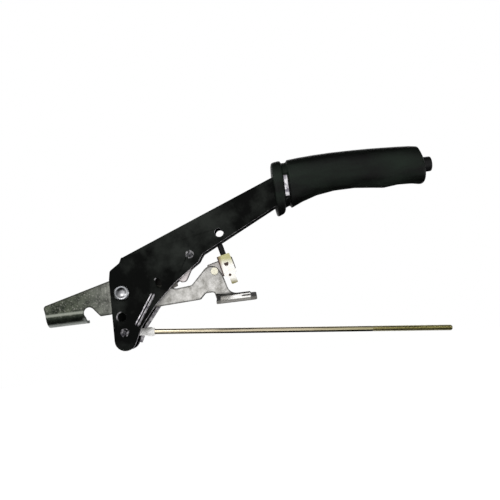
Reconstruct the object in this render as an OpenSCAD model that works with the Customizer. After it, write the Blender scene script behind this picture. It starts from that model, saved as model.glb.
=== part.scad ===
// Parking-brake lever with its floor bracket, ratchet, warning-lamp switch and threaded pull rod.
// The origin is the centre of the hook's round seat, in the middle of the bracket plate.
// +X runs along the base towards the grip, +Y away from the lamp switch's contact, +Z up.

/* [Bracket] */
// Thickness of the bracket's plated steel sheet
bracket_t = 3; // [2:0.1:4]
// Radius of the hook's round seat, which drops over a floor stud
hook_r = 5.6; // [4.5:0.1:6.5]
// Length of the hook arm, from its seat to its left end
hook_len = 43; // [36:1:60]
// Outer radius of the bend that turns the hook arm's lower edge into a flange
hook_bend_r = 13; // [9:0.5:16]
// Flat width of the hook flange behind its bend
hook_flange_w = 7; // [5:0.5:12]
// Height of the hump that carries the lamp switch, above the seat
hump_z = 32.5; // [29:0.5:36]
// Left end of the bolted foot
foot_x = 127; // [124:0.5:130]
// Length of the bolted foot along the base
foot_len = 39; // [32:1:50]
// Width of the bolted foot from the plate's mid plane
foot_w = 24; // [19:0.5:34]
// Downward slope of the foot, which sits on a tunnel's flank
foot_slope = 11; // [0:1:20]
// Radius of the foot's bolt hole
foot_bolt_r = 4.25; // [3:0.05:5]

/* [Pivot and ratchet] */
// Pivot axis along the base, from the hook's seat
pivot_x = 35.5; // [32:0.5:39]
// Pivot axis height above the hook's seat
pivot_z = 15.5; // [13:0.5:18]
// Radius of the pivot pin's shank
pivot_r = 5; // [4:0.1:6]
// Radius of the pivot pin's cupped head
pivot_head_r = 7.5; // [7:0.1:9]
// Height of the pivot pin's cupped head
pivot_head_h = 3.4; // [2.5:0.1:5]
// Radial running clearance of every turning pin
pin_gap = 0.05; // [0.02:0.01:0.09]
// Side clearance between pieces that move past each other
side_gap = 0.3; // [0.2:0.05:0.5]
// Radius over the tips of the ratchet teeth
sector_r = 54; // [52:0.5:55]
// Thickness of the ratchet sector
sector_t = 4; // [3:0.1:5]
// Number of notches past the released one
notch_count = 12; // [8:1:16]
// Depth of a ratchet notch
notch_depth = 2.2; // [1.8:0.1:2.6]
// Lift of the lever from released to fully applied, in degrees
lever_travel = 40; // [30:1:44]

/* [Lever] */
// Thickness of the lever's steel sheet
lever_t = 2; // [1.5:0.1:2.5]
// Clear width inside the lever, between its two halves' side plates
lever_inside = 22; // [20:0.5:26]
// Gap between the near side plate and the bracket plate
near_gap = 4.5; // [3.8:0.1:6]
// Slope of the lever arm's upper wall
arm_slope = 21.4; // [20:0.1:23]
// Distance of the arm's upper wall from the pivot axis
arm_top = 30.7; // [30:0.1:33]
// Width of the turned-in lip along the lever's open lower edge
lip_w = 2; // [1.5:0.1:2.2]
// How far the far side plate stands out past the near one beside the lobe
brim_w = 2.6; // [1.6:0.1:3.4]
// Length of the lever from its pivot to the end of the tang
tang_x = 286; // [276:1:292]
// Height of the tang inside the grip
tang_h = 20; // [18:0.5:22]
// Radius of the clear hole through both side plates
sight_r = 4.3; // [3:0.1:5]
// Radius of the round tooling hole in the near side plate
tool_hole_r = 4.3; // [3:0.1:5]
// Width of the tooling slot through both side plates
slot_w = 5.6; // [4:0.1:7]
// Length of the tooling slot
slot_len = 9.4; // [8:0.1:12]
// Radius of the pressed stiffening bead
bead_r = 2.4; // [1:0.1:3]

/* [Grip and button] */
// Width of the grip across the lever
grip_w = 35; // [32:0.5:42]
// Length of the grip past the end of the tang
grip_past = 26; // [24:0.5:34]
// Height of the grip's top above the pivot
grip_top = 115; // [113:0.5:120]
// Width of the collar along the lever
collar_w = 10; // [7:0.5:11]
// Width of the neck between collar and body
neck_w = 6; // [4:0.5:8]
// Depth of the neck's groove below the collar
neck_in = 2.3; // [1:0.1:3.2]
// Height of the button's axis above the pivot
button_z = 92; // [91:0.5:94]
// Radius of the release button
button_r = 7.5; // [6.5:0.1:8]
// How far the button still stands out of the grip when it is pressed
button_left = 5; // [3:0.5:8]
// Length of the button
button_len = 25; // [21:0.5:30]
// Wall of the sleeve that guides the button
guide_wall = 1.8; // [1.2:0.1:2.5]
// How far the button is pressed to lift the pawl
button_press = 4; // [3:0.1:5]

/* [Release rod and pawl] */
// Radius of the release rod
release_r = 2; // [1.5:0.1:2.4]
// Sideways offset of the release rod from the lever's mid plane
release_y = 3; // [2.8:0.1:3.6]
// Wire radius of the release spring
spring_wire_r = 0.6; // [0.4:0.05:0.8]
// Number of turns of the release spring
spring_turns = 9; // [6:1:14]
// Pawl rivet along the lever, from the pivot
pawl_x = 70; // [69:0.25:71]
// Pawl rivet height above the pivot
pawl_z = 29.7; // [29:0.25:30.5]
// Radius of the pawl rivet's shank
pawl_pin_r = 3.5; // [2.5:0.1:4]
// Radius of the pawl rivet's peened head
pawl_head_r = 4.2; // [4:0.1:5.5]
// Clearance of the pawl's tooth over the ratchet tips in the released rest pose
pawl_ride = 0.35; // [0.3:0.05:0.6]
// Play of the release rod's hooked end in the pawl
hook_play = 0.7; // [0.6:0.05:1]

/* [Pull rod] */
// Clevis pin along the lever, from the pivot
clevis_x = -1.4; // [-3:0.1:1]
// Depth of the clevis pin below the pivot
clevis_drop = 38.7; // [37:0.1:41]
// Radius of the clevis pin's shank
clevis_r = 3.9; // [3:0.1:4.5]
// Radius of the pull rod
rod_r = 2.7; // [2.2:0.1:3]
// Radius over the rod's thread
thread_r = 2.9; // [2.75:0.05:3]
// Length of the rod's thread
thread_len = 80; // [40:1:120]
// Length of the pull rod, from the clevis pin to its free end
rod_len = 323.5; // [280:0.5:360]
// Fall of the pull rod below the base line at rest, in degrees
rod_fall = 6.2; // [4:0.1:9]
// Outer radius of the rod's eye
eye_r = 8; // [7:0.1:9]
// Thickness of the rod's eye
eye_t = 5; // [4:0.1:6]
// Length of the eye's crimped sleeve
sleeve_len = 20.5; // [18:0.5:26]
// Wall of the eye's crimped sleeve at its ends
sleeve_wall = 0.9; // [0.6:0.05:1.2]
// Radius of the sleeve's swollen middle
swell_r = 4.6; // [4:0.1:4.7]

/* [Lamp switch] */
// Switch axis along the base, at the top of its contact strip
switch_x = 138.3; // [137.5:0.1:139.5]
// Height of the top of the contact strip
switch_z = 40.7; // [39:0.1:42]
// Lean of the switch from upright, in degrees
switch_lean = 13.5; // [12:0.5:15]
// Radius of the plunger
plunger_r = 2.8; // [2.2:0.1:3]
// How far the plunger stands out of the switch with the lever down
plunger_out = 11.2; // [10:0.1:11.4]
// How far the plunger follows the lever when that lifts
plunger_travel = 3; // [2:0.1:4]
// Width of the contact strip
contact_w = 12; // [9:0.1:12.5]
// Length of the contact strip above its spade
contact_len = 20; // [17:0.5:21]
// Width of the spade terminal
spade_w = 6.3; // [4.8:0.1:6.5]
// Length of the spade terminal
spade_len = 10; // [7:0.5:11]
// Thickness of the strip and of its insulating card
strip_t = 0.8; // [0.6:0.1:1]
// How far the insulating card shows past the strip's left edge
card_edge = 1.1; // [0.5:0.1:1.8]
// Thickness of the switch's mounting tab
tab_t = 1.2; // [0.8:0.1:1.5]
// Depth of the switch's moulded body
body_t = 7.6; // [7:0.1:9]
// Width of the switch's moulded body
body_w = 9.6; // [8.6:0.1:10]

/* [Hidden] */
$fn = 48;
arc_steps = 6;
fit_gap = 0.1;
cut = 1;

bracket_front = -bracket_t / 2;
bracket_back = bracket_t / 2;
lever_near_in = bracket_front - near_gap;
lever_near_out = lever_near_in - lever_t;
lever_far_in = lever_near_in + lever_inside;
lever_far_out = lever_far_in + lever_t;
lever_mid = (lever_near_in + lever_far_in) / 2;
sector_back = bracket_back + sector_t;
pawl_front = bracket_back + side_gap;
pawl_back = sector_back - side_gap;
tooth_pitch = lever_travel / notch_count;

// The lever is drawn about its pivot, with the collar and the end of the grip as stations along X.
collar_x = 160;
neck_x = collar_x + collar_w;
body_x = neck_x + neck_w;
grip_end = tang_x + grip_past;
tang_z = button_z + 2;
tang_low = tang_z - tang_h / 2;
tang_high = tang_z + tang_h / 2;
guide_r = button_r + pin_gap + guide_wall;
button_x = grip_end + button_left + button_press - button_len;
release_rod_y = lever_mid + release_y;

// The arm's lower wall starts past the pawl, where the lever becomes a closed box.
box_start = [83, 28.7];
arm_low_end = [195, tang_low];
arm_start = [2.5, arm_top_at(2.5)];
arm_high_end = [(tang_high - arm_top_at(0)) / tan(arm_slope), tang_high];
lobe_r = 10.5;
lobe_low = -clevis_drop - lobe_r - 7.4;
open_edge = [
    [82.9, 28.7, 5], [78, 21.3, 5], [72, 17.5, 8], [51.5, 3, 40], [31.7, -15.4, 40], [15.7, -35, 20]];
lever_corners = concat(
    [[arm_start[0], arm_start[1], 2], [arm_high_end[0], arm_high_end[1], 30]],
    [[tang_x, tang_high, 0], [tang_x, tang_low, 0], [arm_low_end[0], arm_low_end[1], 30]],
    open_edge,
    [[5.4, lobe_low, lobe_r], [-12.4, lobe_low, lobe_r], [-11.3, 14.6, 6], [-9.8, 22.8, 4], [0.2, 29.4, 3]]);
top_wall = [
    [arm_start[0], arm_start[1], 0], [arm_high_end[0], arm_high_end[1], 30], [tang_x, tang_high, 0]];
low_wall = [
    [tang_x, tang_low, 0], [arm_low_end[0], arm_low_end[1], 30], [box_start[0], box_start[1], 0]];
lip_chain = concat(open_edge, [[8.4, lobe_low + 6.3, 0]]);
brim_chain = [[44.5, -3.5, 0], open_edge[4], open_edge[5], [8.4, lobe_low + 6.3, 0]];
sight_at = [101.3, 47.5];
tool_hole_at = [-2.5, -23.4];
slot_at = [36.4, 5.3];
slot_lean = 17;
slot_corners = [for (at = [[-1, -1], [-1, 1], [1, 1], [1, -1]])
    [at[0] * slot_w / 2, at[1] * slot_len / 2, slot_w / 2 - 0.1]];
bead_from = [29.6, -5.4];
bead_to = [12, -31.6];

// The pawl's tooth stands over the first notch, and its tail takes the release rod's hooked end.
pawl_hole = [pawl_x + 3.5, pawl_z + 16.8];
pawl_hole_r = release_r + hook_play;
tooth_angle = 6.3;
tooth_tip = (sector_r + pawl_ride) * [cos(tooth_angle), sin(tooth_angle)];
first_notch = 7.3;
notch_half = 1.4;
sector_from = 0.6;
sector_to = first_notch + lever_travel + 3.2;
pawl_corners = [
    [tooth_tip[0], tooth_tip[1], 0], [tooth_tip[0] + 3, tooth_tip[1] - 1.4, 0],
    [tooth_tip[0] + 4, tooth_tip[1] - 2.4, 1], [tooth_tip[0] + 9, tooth_tip[1] - 2.6, 4.5],
    [pawl_x + 7.6, pawl_z - 1.4, 8], [pawl_hole[0] + 5.2, pawl_hole[1] + 5.2, 4],
    [pawl_hole[0] - 5, pawl_hole[1] + 5.2, 4], [pawl_x - 8, pawl_z, 8],
    [tooth_tip[0] + 4.6, tooth_tip[1] + 6, 2], [tooth_tip[0] + 3.1, tooth_tip[1] + 2.1, 0]];
rivet_r = 2.8;
sector_rivet_at = [[18, 7], [29, 3.5]];

// The pull rod is drawn along X from the clevis pin, then turned down to its fall.
clevis_z = -clevis_drop;
eye_y = lever_far_in - 4.5 - eye_t / 2;
sleeve_r = rod_r + sleeve_wall;
sleeve_start = eye_r - 1.5;
rod_start = sleeve_start + 2.5;

// The switch is drawn upright about the top of its strip, then leaned.
tab_back = bracket_back + tab_t;
body_front = bracket_back - body_t;
card_front = body_front - strip_t;
contact_front = card_front - strip_t;
plunger_y = (body_front + bracket_back) / 2;
body_low = -contact_len + 1.5;
spade_x = 1.2;
key_at = [-0.3, -9.7];
plunger_low = -6 - plunger_travel;
tab_rivet_at = [127.6, hump_z - 6.5];

// Bracket outline about the hook's seat. The part between pivot and pawl is behind the lever.
hook_left = -hook_len;
bend_z = hook_bend_r - 10;
hook_top_slope = 14.7;
lip_end = -4.4;
mouth_top = [hook_r * cos(40), hook_r * sin(40)];
mouth_low = [11, -4.6];
foot_top = 1.1;
foot_rib = 2.3;
foot_low = foot_top - bracket_t / cos(foot_slope) - 0.3;
rib_end = foot_x + foot_len - 5.7;
plate_corners = [
    [hook_left, bend_z, 0], [hook_left - 1.4, 11.6, 3], [pivot_x + 3, pivot_z + 17.6, 9],
    [pivot_x + 26, pivot_z + 7, 10], [88, 13.6, 5], [103.5, 15, 6], [126.2, hump_z + 5.2, 9],
    [135.6, 20, 20], [foot_x + 13.2, foot_rib, 9], [rib_end, foot_rib, 0.6], [rib_end, foot_low, 0],
    [foot_x - 0.4, foot_low, 0], [foot_x - 2, 5.4, 2.5], [foot_x - 10.5, 5.4, 4],
    [foot_x - 16, -0.2, 4], [mouth_low[0], mouth_low[1], 2],
    [mouth_top[0], mouth_top[1], 0], [lip_end, bend_z, 0]];

function unit(v) = v / norm(v);
function flat(p) = [p[0], p[1]];
function left_of(v) = [-v[1], v[0]];
function arm_top_at(x) = arm_top / cos(arm_slope) + x * tan(arm_slope);
function wrap(a) = a > 180 ? a - 360 : a < -180 ? a + 360 : a;

// Points of one rounded corner between the points before and after it
function corner(before, at, after) =
    let(u = unit(flat(before) - flat(at)), v = unit(flat(after) - flat(at)), r = at[2])
    r == 0 ? [flat(at)] :
    let(half = acos(u * v) / 2, reach = r / tan(half), c = flat(at) + unit(u + v) * r / sin(half),
        from = flat(at) + u * reach - c, to = flat(at) + v * reach - c,
        a0 = atan2(from[1], from[0]), sweep = wrap(atan2(to[1], to[0]) - a0))
    [for (i = [0:arc_steps]) c + r * [cos(a0 + sweep * i / arc_steps), sin(a0 + sweep * i / arc_steps)]];

// Closed outline with rounded corners, from [x, z, radius] corners
function outline(c) =
    let(n = len(c)) [for (i = [0:n - 1]) each corner(c[(i + n - 1) % n], c[i], c[(i + 1) % n])];

// Open chain with rounded corners between its two ends
function chain(c) = let(n = len(c)) concat(
    [flat(c[0])], [for (i = [1:n - 2]) each corner(c[i - 1], c[i], c[i + 1])], [flat(c[n - 1])]);

// The chain moved sideways by d, to its right
function beside(p, d) = let(n = len(p)) [for (i = [0:n - 1])
    let(a = unit(p[min(i + 1, n - 1)] - p[min(i, n - 2)]), b = unit(p[max(i, 1)] - p[max(i - 1, 0)]),
        s = -left_of(a), t = -left_of(b))
    p[i] + d * (s + t) / (1 + s * t)];

// A wall of thickness t along a chain, on its right side
function wall(p, t) = let(inner = beside(p, t), n = len(p)) concat(p, [for (i = [0:n - 1]) inner[n - 1 - i]]);

// The closed outline grown outwards by d; its points run clockwise
function grown(p, d) = let(n = len(p)) [for (i = [0:n - 1])
    let(s = left_of(unit(p[(i + 1) % n] - p[i])), t = left_of(unit(p[i] - p[(i + n - 1) % n])))
    p[i] + d * (s + t) / (1 + s * t)];

// Extrudes an outline drawn in X and Z from y0 to y1
module slab(y0, y1) {
    translate([0, y1, 0]) rotate([90, 0, 0]) linear_extrude(y1 - y0) children();
}

// A cylinder along Y at a point of the X-Z plane
module across(at, r, y0, y1) {
    translate([at[0], y1, at[1]]) rotate([90, 0, 0]) cylinder(r = r, h = y1 - y0);
}

module tube_across(at, r_in, r_out, y0, y1) {
    difference() {
        across(at, r_out, y0, y1);
        across(at, r_in, y0 - cut, y1 + cut);
    }
}

module at_pivot() {
    translate([pivot_x, 0, pivot_z]) children();
}

module at_switch() {
    translate([switch_x, 0, switch_z]) rotate([0, -switch_lean, 0]) children();
}

module at_rod() {
    at_pivot() translate([clevis_x, eye_y, clevis_z]) rotate([0, rod_fall, 0]) children();
}

module at_foot() {
    translate([0, bracket_front, foot_top]) rotate([foot_slope, 0, 0]) children();
}

// Plated steel stamping: hook arm with a turned-back flange, hump for the switch and bolted foot
module bracket_plate() {
    color("gainsboro") difference() {
        union() {
            slab(bracket_front, bracket_back) polygon(outline(plate_corners));
            hook_flange();
            foot();
        }
        across([0, 0], hook_r, bracket_front - cut, bracket_front + hook_bend_r + hook_flange_w + cut);
        at_pivot() across([0, 0], pivot_r, bracket_front - cut, bracket_back + cut);
        at_pivot() for (at = sector_rivet_at) across(at, rivet_r, bracket_front - cut, bracket_back + cut);
        across(tab_rivet_at, rivet_r, bracket_front - cut, bracket_back + cut);
    }
}

module hook_flange() {
    length = lip_end - hook_left;
    translate([hook_left, bracket_front + hook_bend_r, bend_z]) rotate([0, 90, 0]) {
        rotate([0, 0, -90]) rotate_extrude(angle = 90) translate([hook_bend_r - bracket_t, 0])
            square([bracket_t, length]);
        translate([hook_bend_r - bracket_t, 0, 0]) cube([bracket_t, hook_flange_w, length]);
    }
}

module foot() {
    foot_front = bracket_front - foot_w;
    foot_root = 1;
    at_foot() translate([0, 0, -bracket_t]) difference() {
        linear_extrude(bracket_t) polygon(outline([
            [foot_x, foot_root, 0], [foot_x + foot_len, foot_root, 4],
            [foot_x + foot_len, foot_front, 3], [foot_x, foot_front, 2]]));
        translate([foot_x + foot_len - 10, -foot_w / 2, -cut])
            cylinder(r = foot_bolt_r, h = bracket_t + 2 * cut);
    }
}

// Hardened ratchet sector behind the bracket plate, with sawtooth notches about the pivot
module ratchet_sector() {
    half = notch_half * 57.3 / sector_r;
    notches = [for (k = [0:notch_count]) let(a = first_notch + k * tooth_pitch)
        each [sector_r * [cos(a - half), sin(a - half)], (sector_r - notch_depth) * [cos(a), sin(a)],
            sector_r * [cos(a + half), sin(a + half)]]];
    body = concat([[10, -9], [38, -5], sector_r * [cos(sector_from), sin(sector_from)]], notches,
        [sector_r * [cos(sector_to), sin(sector_to)], [26, 31.5], [-4, 11.5]]);
    color("dimgray") at_pivot() difference() {
        slab(bracket_back, sector_back) union() {
            polygon(body);
            circle(12.5);
        }
        across([0, 0], pivot_r, bracket_back - cut, sector_back + cut);
        for (at = sector_rivet_at) across(at, rivet_r, bracket_back - cut, sector_back + cut);
    }
}

module sector_rivets() {
    color("silver") at_pivot() for (at = sector_rivet_at) {
        across(at, rivet_r, bracket_front, sector_back);
        across(at, rivet_r + 1.8, bracket_front - 1.4, bracket_front);
        across(at, rivet_r + 1.4, sector_back, sector_back + 1);
    }
}

// Shouldered pivot pin, fixed in the bracket, with a cupped head on the near side
module pivot_pin() {
    head_y = lever_near_out - side_gap;
    far_y = lever_far_out + side_gap;
    dish_r = pivot_head_r - 2.1;
    color("silver") at_pivot() {
        across([0, 0], pivot_r, head_y, far_y);
        translate([0, head_y, 0]) rotate([90, 0, 0]) rotate_extrude() polygon([
            [0, 0], [pivot_head_r, 0], [pivot_head_r, pivot_head_h * 0.55],
            [pivot_head_r - 0.5, pivot_head_h * 0.82], [pivot_head_r - 1.3, pivot_head_h],
            [dish_r, pivot_head_h], [dish_r - 2.6, pivot_head_h * 0.45], [0, pivot_head_h * 0.35]]);
        across([0, 0], pivot_head_r - 0.4, far_y, far_y + 2.4);
    }
}

module pivot_spacers() {
    color("darkgray") at_pivot() {
        tube_across([0, 0], pivot_r, pivot_r + 3.5, lever_near_in + side_gap, bracket_front);
        tube_across([0, 0], pivot_r, pivot_r + 3.5, sector_back, lever_far_in - side_gap);
    }
}

// Plated tab that carries the lamp switch behind the bracket's hump
module switch_tab() {
    color("thistle") difference() {
        slab(bracket_back, tab_back) polygon(outline([
            [120.8, hump_z + 0.6, 1.5], [133, hump_z + 3.6, 1], [146, hump_z + 6.7, 1.5],
            [149, hump_z - 6, 1.5], [tab_rivet_at[0] + 7, tab_rivet_at[1] - 6.4, 2],
            [tab_rivet_at[0] - 6, tab_rivet_at[1] - 5.4, 3]]));
        across(tab_rivet_at, rivet_r, bracket_back - cut, tab_back + cut);
    }
}

module switch_rivet() {
    color("silver") {
        across(tab_rivet_at, rivet_r, bracket_front, tab_back);
        across(tab_rivet_at, rivet_r + 1, bracket_front - 0.8, bracket_front);
        across(tab_rivet_at, rivet_r + 1, tab_back, tab_back + 0.8);
    }
}

// Brown moulded switch body in front of the tab, bored for its plunger
module switch_body() {
    color("saddlebrown") at_switch() difference() {
        translate([-body_w / 2, body_front, body_low]) cube([body_w, body_t, -body_low]);
        translate([0, plunger_y, plunger_low - 7]) cylinder(r = plunger_r + pin_gap, h = 20);
    }
}

module switch_card() {
    left = contact_w / 2 + card_edge;
    color("peru") at_switch() translate([-left, card_front, -contact_len])
        cube([left + contact_w / 2 - card_edge, strip_t, contact_len]);
}

// Yellow-passivated contact strip with a keyed hole and a spade terminal
module switch_contact() {
    right = spade_x + spade_w / 2;
    left = spade_x - spade_w / 2;
    tip = -contact_len - spade_len;
    color("khaki") at_switch() difference() {
        slab(contact_front, card_front) polygon(outline([
            [-contact_w / 2, 0, 1], [contact_w / 2, 0, 1.2], [contact_w / 2 + 0.3, -contact_len, 0.6],
            [right, -contact_len - 0.4, 0.4], [right, tip, 0.8], [left, tip, 0.8],
            [left, -contact_len - 4, 1], [left - 1.4, -contact_len - 1.6, 1],
            [-contact_w / 2, -contact_len - 0.2, 0.8]]));
        slab(contact_front - cut, card_front + cut) translate(key_at) polygon(outline([
            [-2.6, 1.6, 0.5], [2.6, 1.6, 0.5], [1.4, -1.8, 1], [-1.4, -1.8, 1]]));
        across([key_at[0] - 0.3, -contact_len - 0.8], 1.35, contact_front - cut, card_front + cut);
    }
}

module switch_spring() {
    color("silver") at_switch() translate([0, plunger_y, plunger_low - 6.6]) for (k = [0:3])
        translate([0, 0, k * 1.9]) rotate_extrude() translate([plunger_r - 0.8, 0]) circle(0.4);
}

// Black plunger that rides on the lever's lower wall
module switch_plunger() {
    color([0.08, 0.08, 0.08]) at_switch() translate([0, plunger_y, plunger_low]) rotate_extrude() polygon([
        [0, 0], [plunger_r, 0], [plunger_r, plunger_out - plunger_low - 0.6],
        [plunger_r - 0.6, plunger_out - plunger_low], [0, plunger_out - plunger_low]]);
}

// One stamped half of the lever: side plate, half of each closed wall, and a lip on the open edge.
// The far half's plate stands out past the lip as a narrow brim.
module lever_half(far) {
    y_out = far ? lever_far_in : lever_near_out;
    lip_from = far ? lever_far_in - lip_w : lever_near_in;
    wall_from = far ? lever_mid : lever_near_out;
    wall_to = far ? lever_far_out : lever_mid;
    at_pivot() difference() {
        union() {
            slab(y_out, y_out + lever_t) polygon(outline(lever_corners));
            slab(wall_from, wall_to) polygon(wall(chain(top_wall), lever_t));
            slab(wall_from, wall_to) polygon(wall(chain(low_wall), lever_t));
            slab(lip_from, lip_from + lip_w) polygon(wall(chain(lip_chain), lever_t));
            if (far) slab(y_out, y_out + lever_t)
                polygon(wall(beside(chain(brim_chain), -brim_w), brim_w + 0.5));
        }
        across([0, 0], pivot_r + pin_gap, y_out - cut, y_out + lever_t + cut);
        across([clevis_x, clevis_z], clevis_r, y_out - cut, y_out + lever_t + cut);
        across([pawl_x, pawl_z], pawl_pin_r, y_out - cut, y_out + lever_t + cut);
        across(sight_at, sight_r, y_out - cut, y_out + lever_t + cut);
        slab(y_out - cut, y_out + lever_t + cut)
            translate(slot_at) rotate(slot_lean) polygon(outline(slot_corners));
        if (!far) across(tool_hole_at, tool_hole_r, y_out - cut, y_out + lever_t + cut);
    }
}

module lever_near_half() {
    length = norm(bead_to - bead_from);
    turn = atan2(bead_to[1] - bead_from[1], bead_to[0] - bead_from[0]);
    start = [bead_from[0], lever_near_out, bead_from[1]];
    color([0.1, 0.1, 0.1]) {
        lever_half(false);
        at_pivot() translate(start) rotate([0, -turn, 0]) difference() {
            union() {
                rotate([0, 90, 0]) cylinder(r = bead_r, h = length);
                sphere(bead_r);
                translate([length, 0, 0]) sphere(bead_r);
            }
            translate([-2 * bead_r, lever_t / 2, -2 * bead_r])
                cube([length + 4 * bead_r, 2 * bead_r, 4 * bead_r]);
        }
    }
}

module lever_far_half() {
    color([0.1, 0.1, 0.1]) lever_half(true);
}

// Hardened pawl: tooth at the foot, rivet in the middle, hole for the release rod at the top
module pawl() {
    color("gray") at_pivot() difference() {
        slab(pawl_front, pawl_back) polygon(outline(pawl_corners));
        across([pawl_x, pawl_z], pawl_pin_r + pin_gap, pawl_front - cut, pawl_back + cut);
        across(pawl_hole, pawl_hole_r, pawl_front - cut, pawl_back + cut);
    }
}

module pawl_rivet() {
    color([0.12, 0.12, 0.12]) at_pivot() difference() {
        union() {
            across([pawl_x, pawl_z], pawl_pin_r, lever_near_out, lever_far_out);
            across([pawl_x, pawl_z], pawl_head_r, lever_near_out - 1, lever_near_out);
            across([pawl_x, pawl_z], pawl_head_r + 1, lever_far_out, lever_far_out + 1.6);
        }
        across([pawl_x, pawl_z], pawl_head_r / 2, lever_near_out - 1 - cut, lever_near_out - 0.4);
    }
}

module pawl_spacers() {
    color("darkgray") at_pivot() {
        tube_across([pawl_x, pawl_z], pawl_pin_r, pawl_pin_r + 2, lever_near_in, pawl_front - side_gap / 2);
        tube_across([pawl_x, pawl_z], pawl_pin_r, pawl_pin_r + 2, pawl_back + side_gap / 2, lever_far_in);
    }
}

// Push button with a domed end, in its sleeve at the end of the grip
module release_button() {
    edge = 1.6;
    color([0.07, 0.07, 0.07]) at_pivot() difference() {
        translate([button_x, lever_mid, button_z]) rotate([0, 90, 0]) rotate_extrude() polygon([
            [0, 0], [button_r, 0], [button_r, button_len - edge], [button_r - 0.5, button_len - 0.5],
            [button_r - edge, button_len], [0, button_len + 0.5]]);
        translate([button_x - cut, release_rod_y, button_z]) rotate([0, 90, 0])
            cylinder(r = release_r, h = 8 + cut);
    }
}

// Bent wire from the button down to the pawl, hooked through the pawl's tail
module release_rod() {
    knee = [178, button_z];
    knee_bend = 10;
    hook_bend = release_r + 1;
    run = knee - pawl_hole;
    turn = atan2(run[1], run[0]);
    knee_reach = knee_bend * tan(turn / 2);
    stub_x = button_x + 8;
    first = stub_x - knee[0] - knee_reach;
    second = norm(run) - knee_reach - hook_bend;
    third = release_rod_y - hook_bend - pawl_front + side_gap;
    color("silver") at_pivot()
        translate([stub_x, release_rod_y, button_z]) rotate([0, -90, 0]) rotate([0, 0, 180]) {
        cylinder(r = release_r, h = first);
        translate([0, 0, first]) {
            elbow(knee_bend, turn);
            translate([knee_bend * (1 - cos(turn)), 0, knee_bend * sin(turn)]) rotate([0, turn, 0]) {
                cylinder(r = release_r, h = second);
                translate([0, 0, second]) rotate([0, 0, 90]) {
                    elbow(hook_bend, 90);
                    translate([hook_bend, 0, hook_bend]) rotate([0, 90, 0])
                        cylinder(r = release_r, h = third);
                }
            }
        }
    }
}

// A bend of the release rod that starts along +Z and turns towards +X
module elbow(bend, angle) {
    translate([bend, 0, 0]) rotate([90, 0, 180]) rotate_extrude(angle = angle)
        translate([bend, 0]) circle(release_r);
}

module release_spring() {
    from = tang_x - 24 + 3 + spring_wire_r + side_gap;
    to = button_x - spring_wire_r - side_gap;
    ring_r = release_r + spring_wire_r + 0.5;
    color("silver") at_pivot() for (k = [0:spring_turns])
        translate([from + (to - from) * k / spring_turns, release_rod_y, button_z]) rotate([0, 90, 0])
            rotate_extrude() translate([ring_r, 0]) circle(spring_wire_r);
}

// Steel plate across the tang that guides the release rod and seats its spring
module rod_guide() {
    color("darkgray") at_pivot() difference() {
        translate([tang_x - 24, lever_near_in, tang_low + lever_t])
            cube([3, lever_inside, tang_h - 2 * lever_t]);
        translate([tang_x - 24 - cut, release_rod_y, button_z]) rotate([0, 90, 0])
            cylinder(r = release_r + pin_gap, h = 3 + 2 * cut);
    }
}

// Sleeve in the end of the grip, in which the button slides
module button_guide() {
    color("darkslategray") at_pivot()
        translate([tang_x, lever_mid, button_z]) rotate([0, 90, 0]) difference() {
        cylinder(r = guide_r, h = grip_end - tang_x - 0.5);
        translate([0, 0, -cut]) cylinder(r = button_r + pin_gap, h = grip_end - tang_x + 2 * cut);
    }
}

// Soft grip moulded in one piece with its collar; the neck has a window on each side
module grip() {
    color([0.09, 0.09, 0.09]) at_pivot() difference() {
        translate([0, lever_mid, 0]) loft(grip_stations());
        slab(lever_near_out - fit_gap, lever_far_out + fit_gap)
            polygon(grown(outline(lever_corners), fit_gap));
        translate([tang_x - cut, lever_mid, button_z]) rotate([0, 90, 0])
            cylinder(r = guide_r + fit_gap, h = grip_end - tang_x + 2 * cut);
        translate([neck_x, -grip_w, tang_low - 10]) cube([neck_w, 3 * grip_w, tang_h + 4]);
    }
}

// Side profile of the grip: [x, bottom, top, half width]
function grip_stations() = let(half = grip_w / 2, step = 0.2) [
    [collar_x, 64, grip_top - 6, half - 2],
    [collar_x + 1, 58.5, grip_top - 3.5, half + 1],
    [collar_x + 2.5, 57.3, grip_top - 3, half + 1.6],
    [neck_x - 2, 59.5, grip_top - 2.2, half + 1.6],
    [neck_x, 62, grip_top - 2.4, half + 1.2],
    [neck_x + step, 63 + neck_in, grip_top - 2.4 - neck_in, half - neck_in],
    [body_x - step, 65 + neck_in, grip_top - 2.2 - neck_in, half - neck_in],
    [body_x, 64.3, grip_top - 2.2, half - 0.4],
    [body_x + 12, 69.5, grip_top - 1.2, half],
    [body_x + 27, 74.2, grip_top - 0.4, half],
    [body_x + 45, 76.8, grip_top, half - 0.2],
    [body_x + 66, 77, grip_top - 0.2, half - 0.5],
    [grip_end - 52, 75, grip_top - 0.7, half - 0.5],
    [grip_end - 41, 73.6, grip_top - 1.2, half - 0.4],
    [grip_end - 26, 75.1, grip_top - 2, half - 0.6],
    [grip_end - 12, 74.5, grip_top - 3, half - 0.5],
    [grip_end - 4.2, 73, grip_top - 4.2, half - 0.7],
    [grip_end - 2.8, 73, grip_top - 7, half - 1.2],
    [grip_end - 1.4, 73.5, grip_top - 11, half - 2],
    [grip_end - 0.5, 74.6, grip_top - 14, half - 3.2],
    [grip_end, 76.5, grip_top - 16, half - 4.6]];

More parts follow.
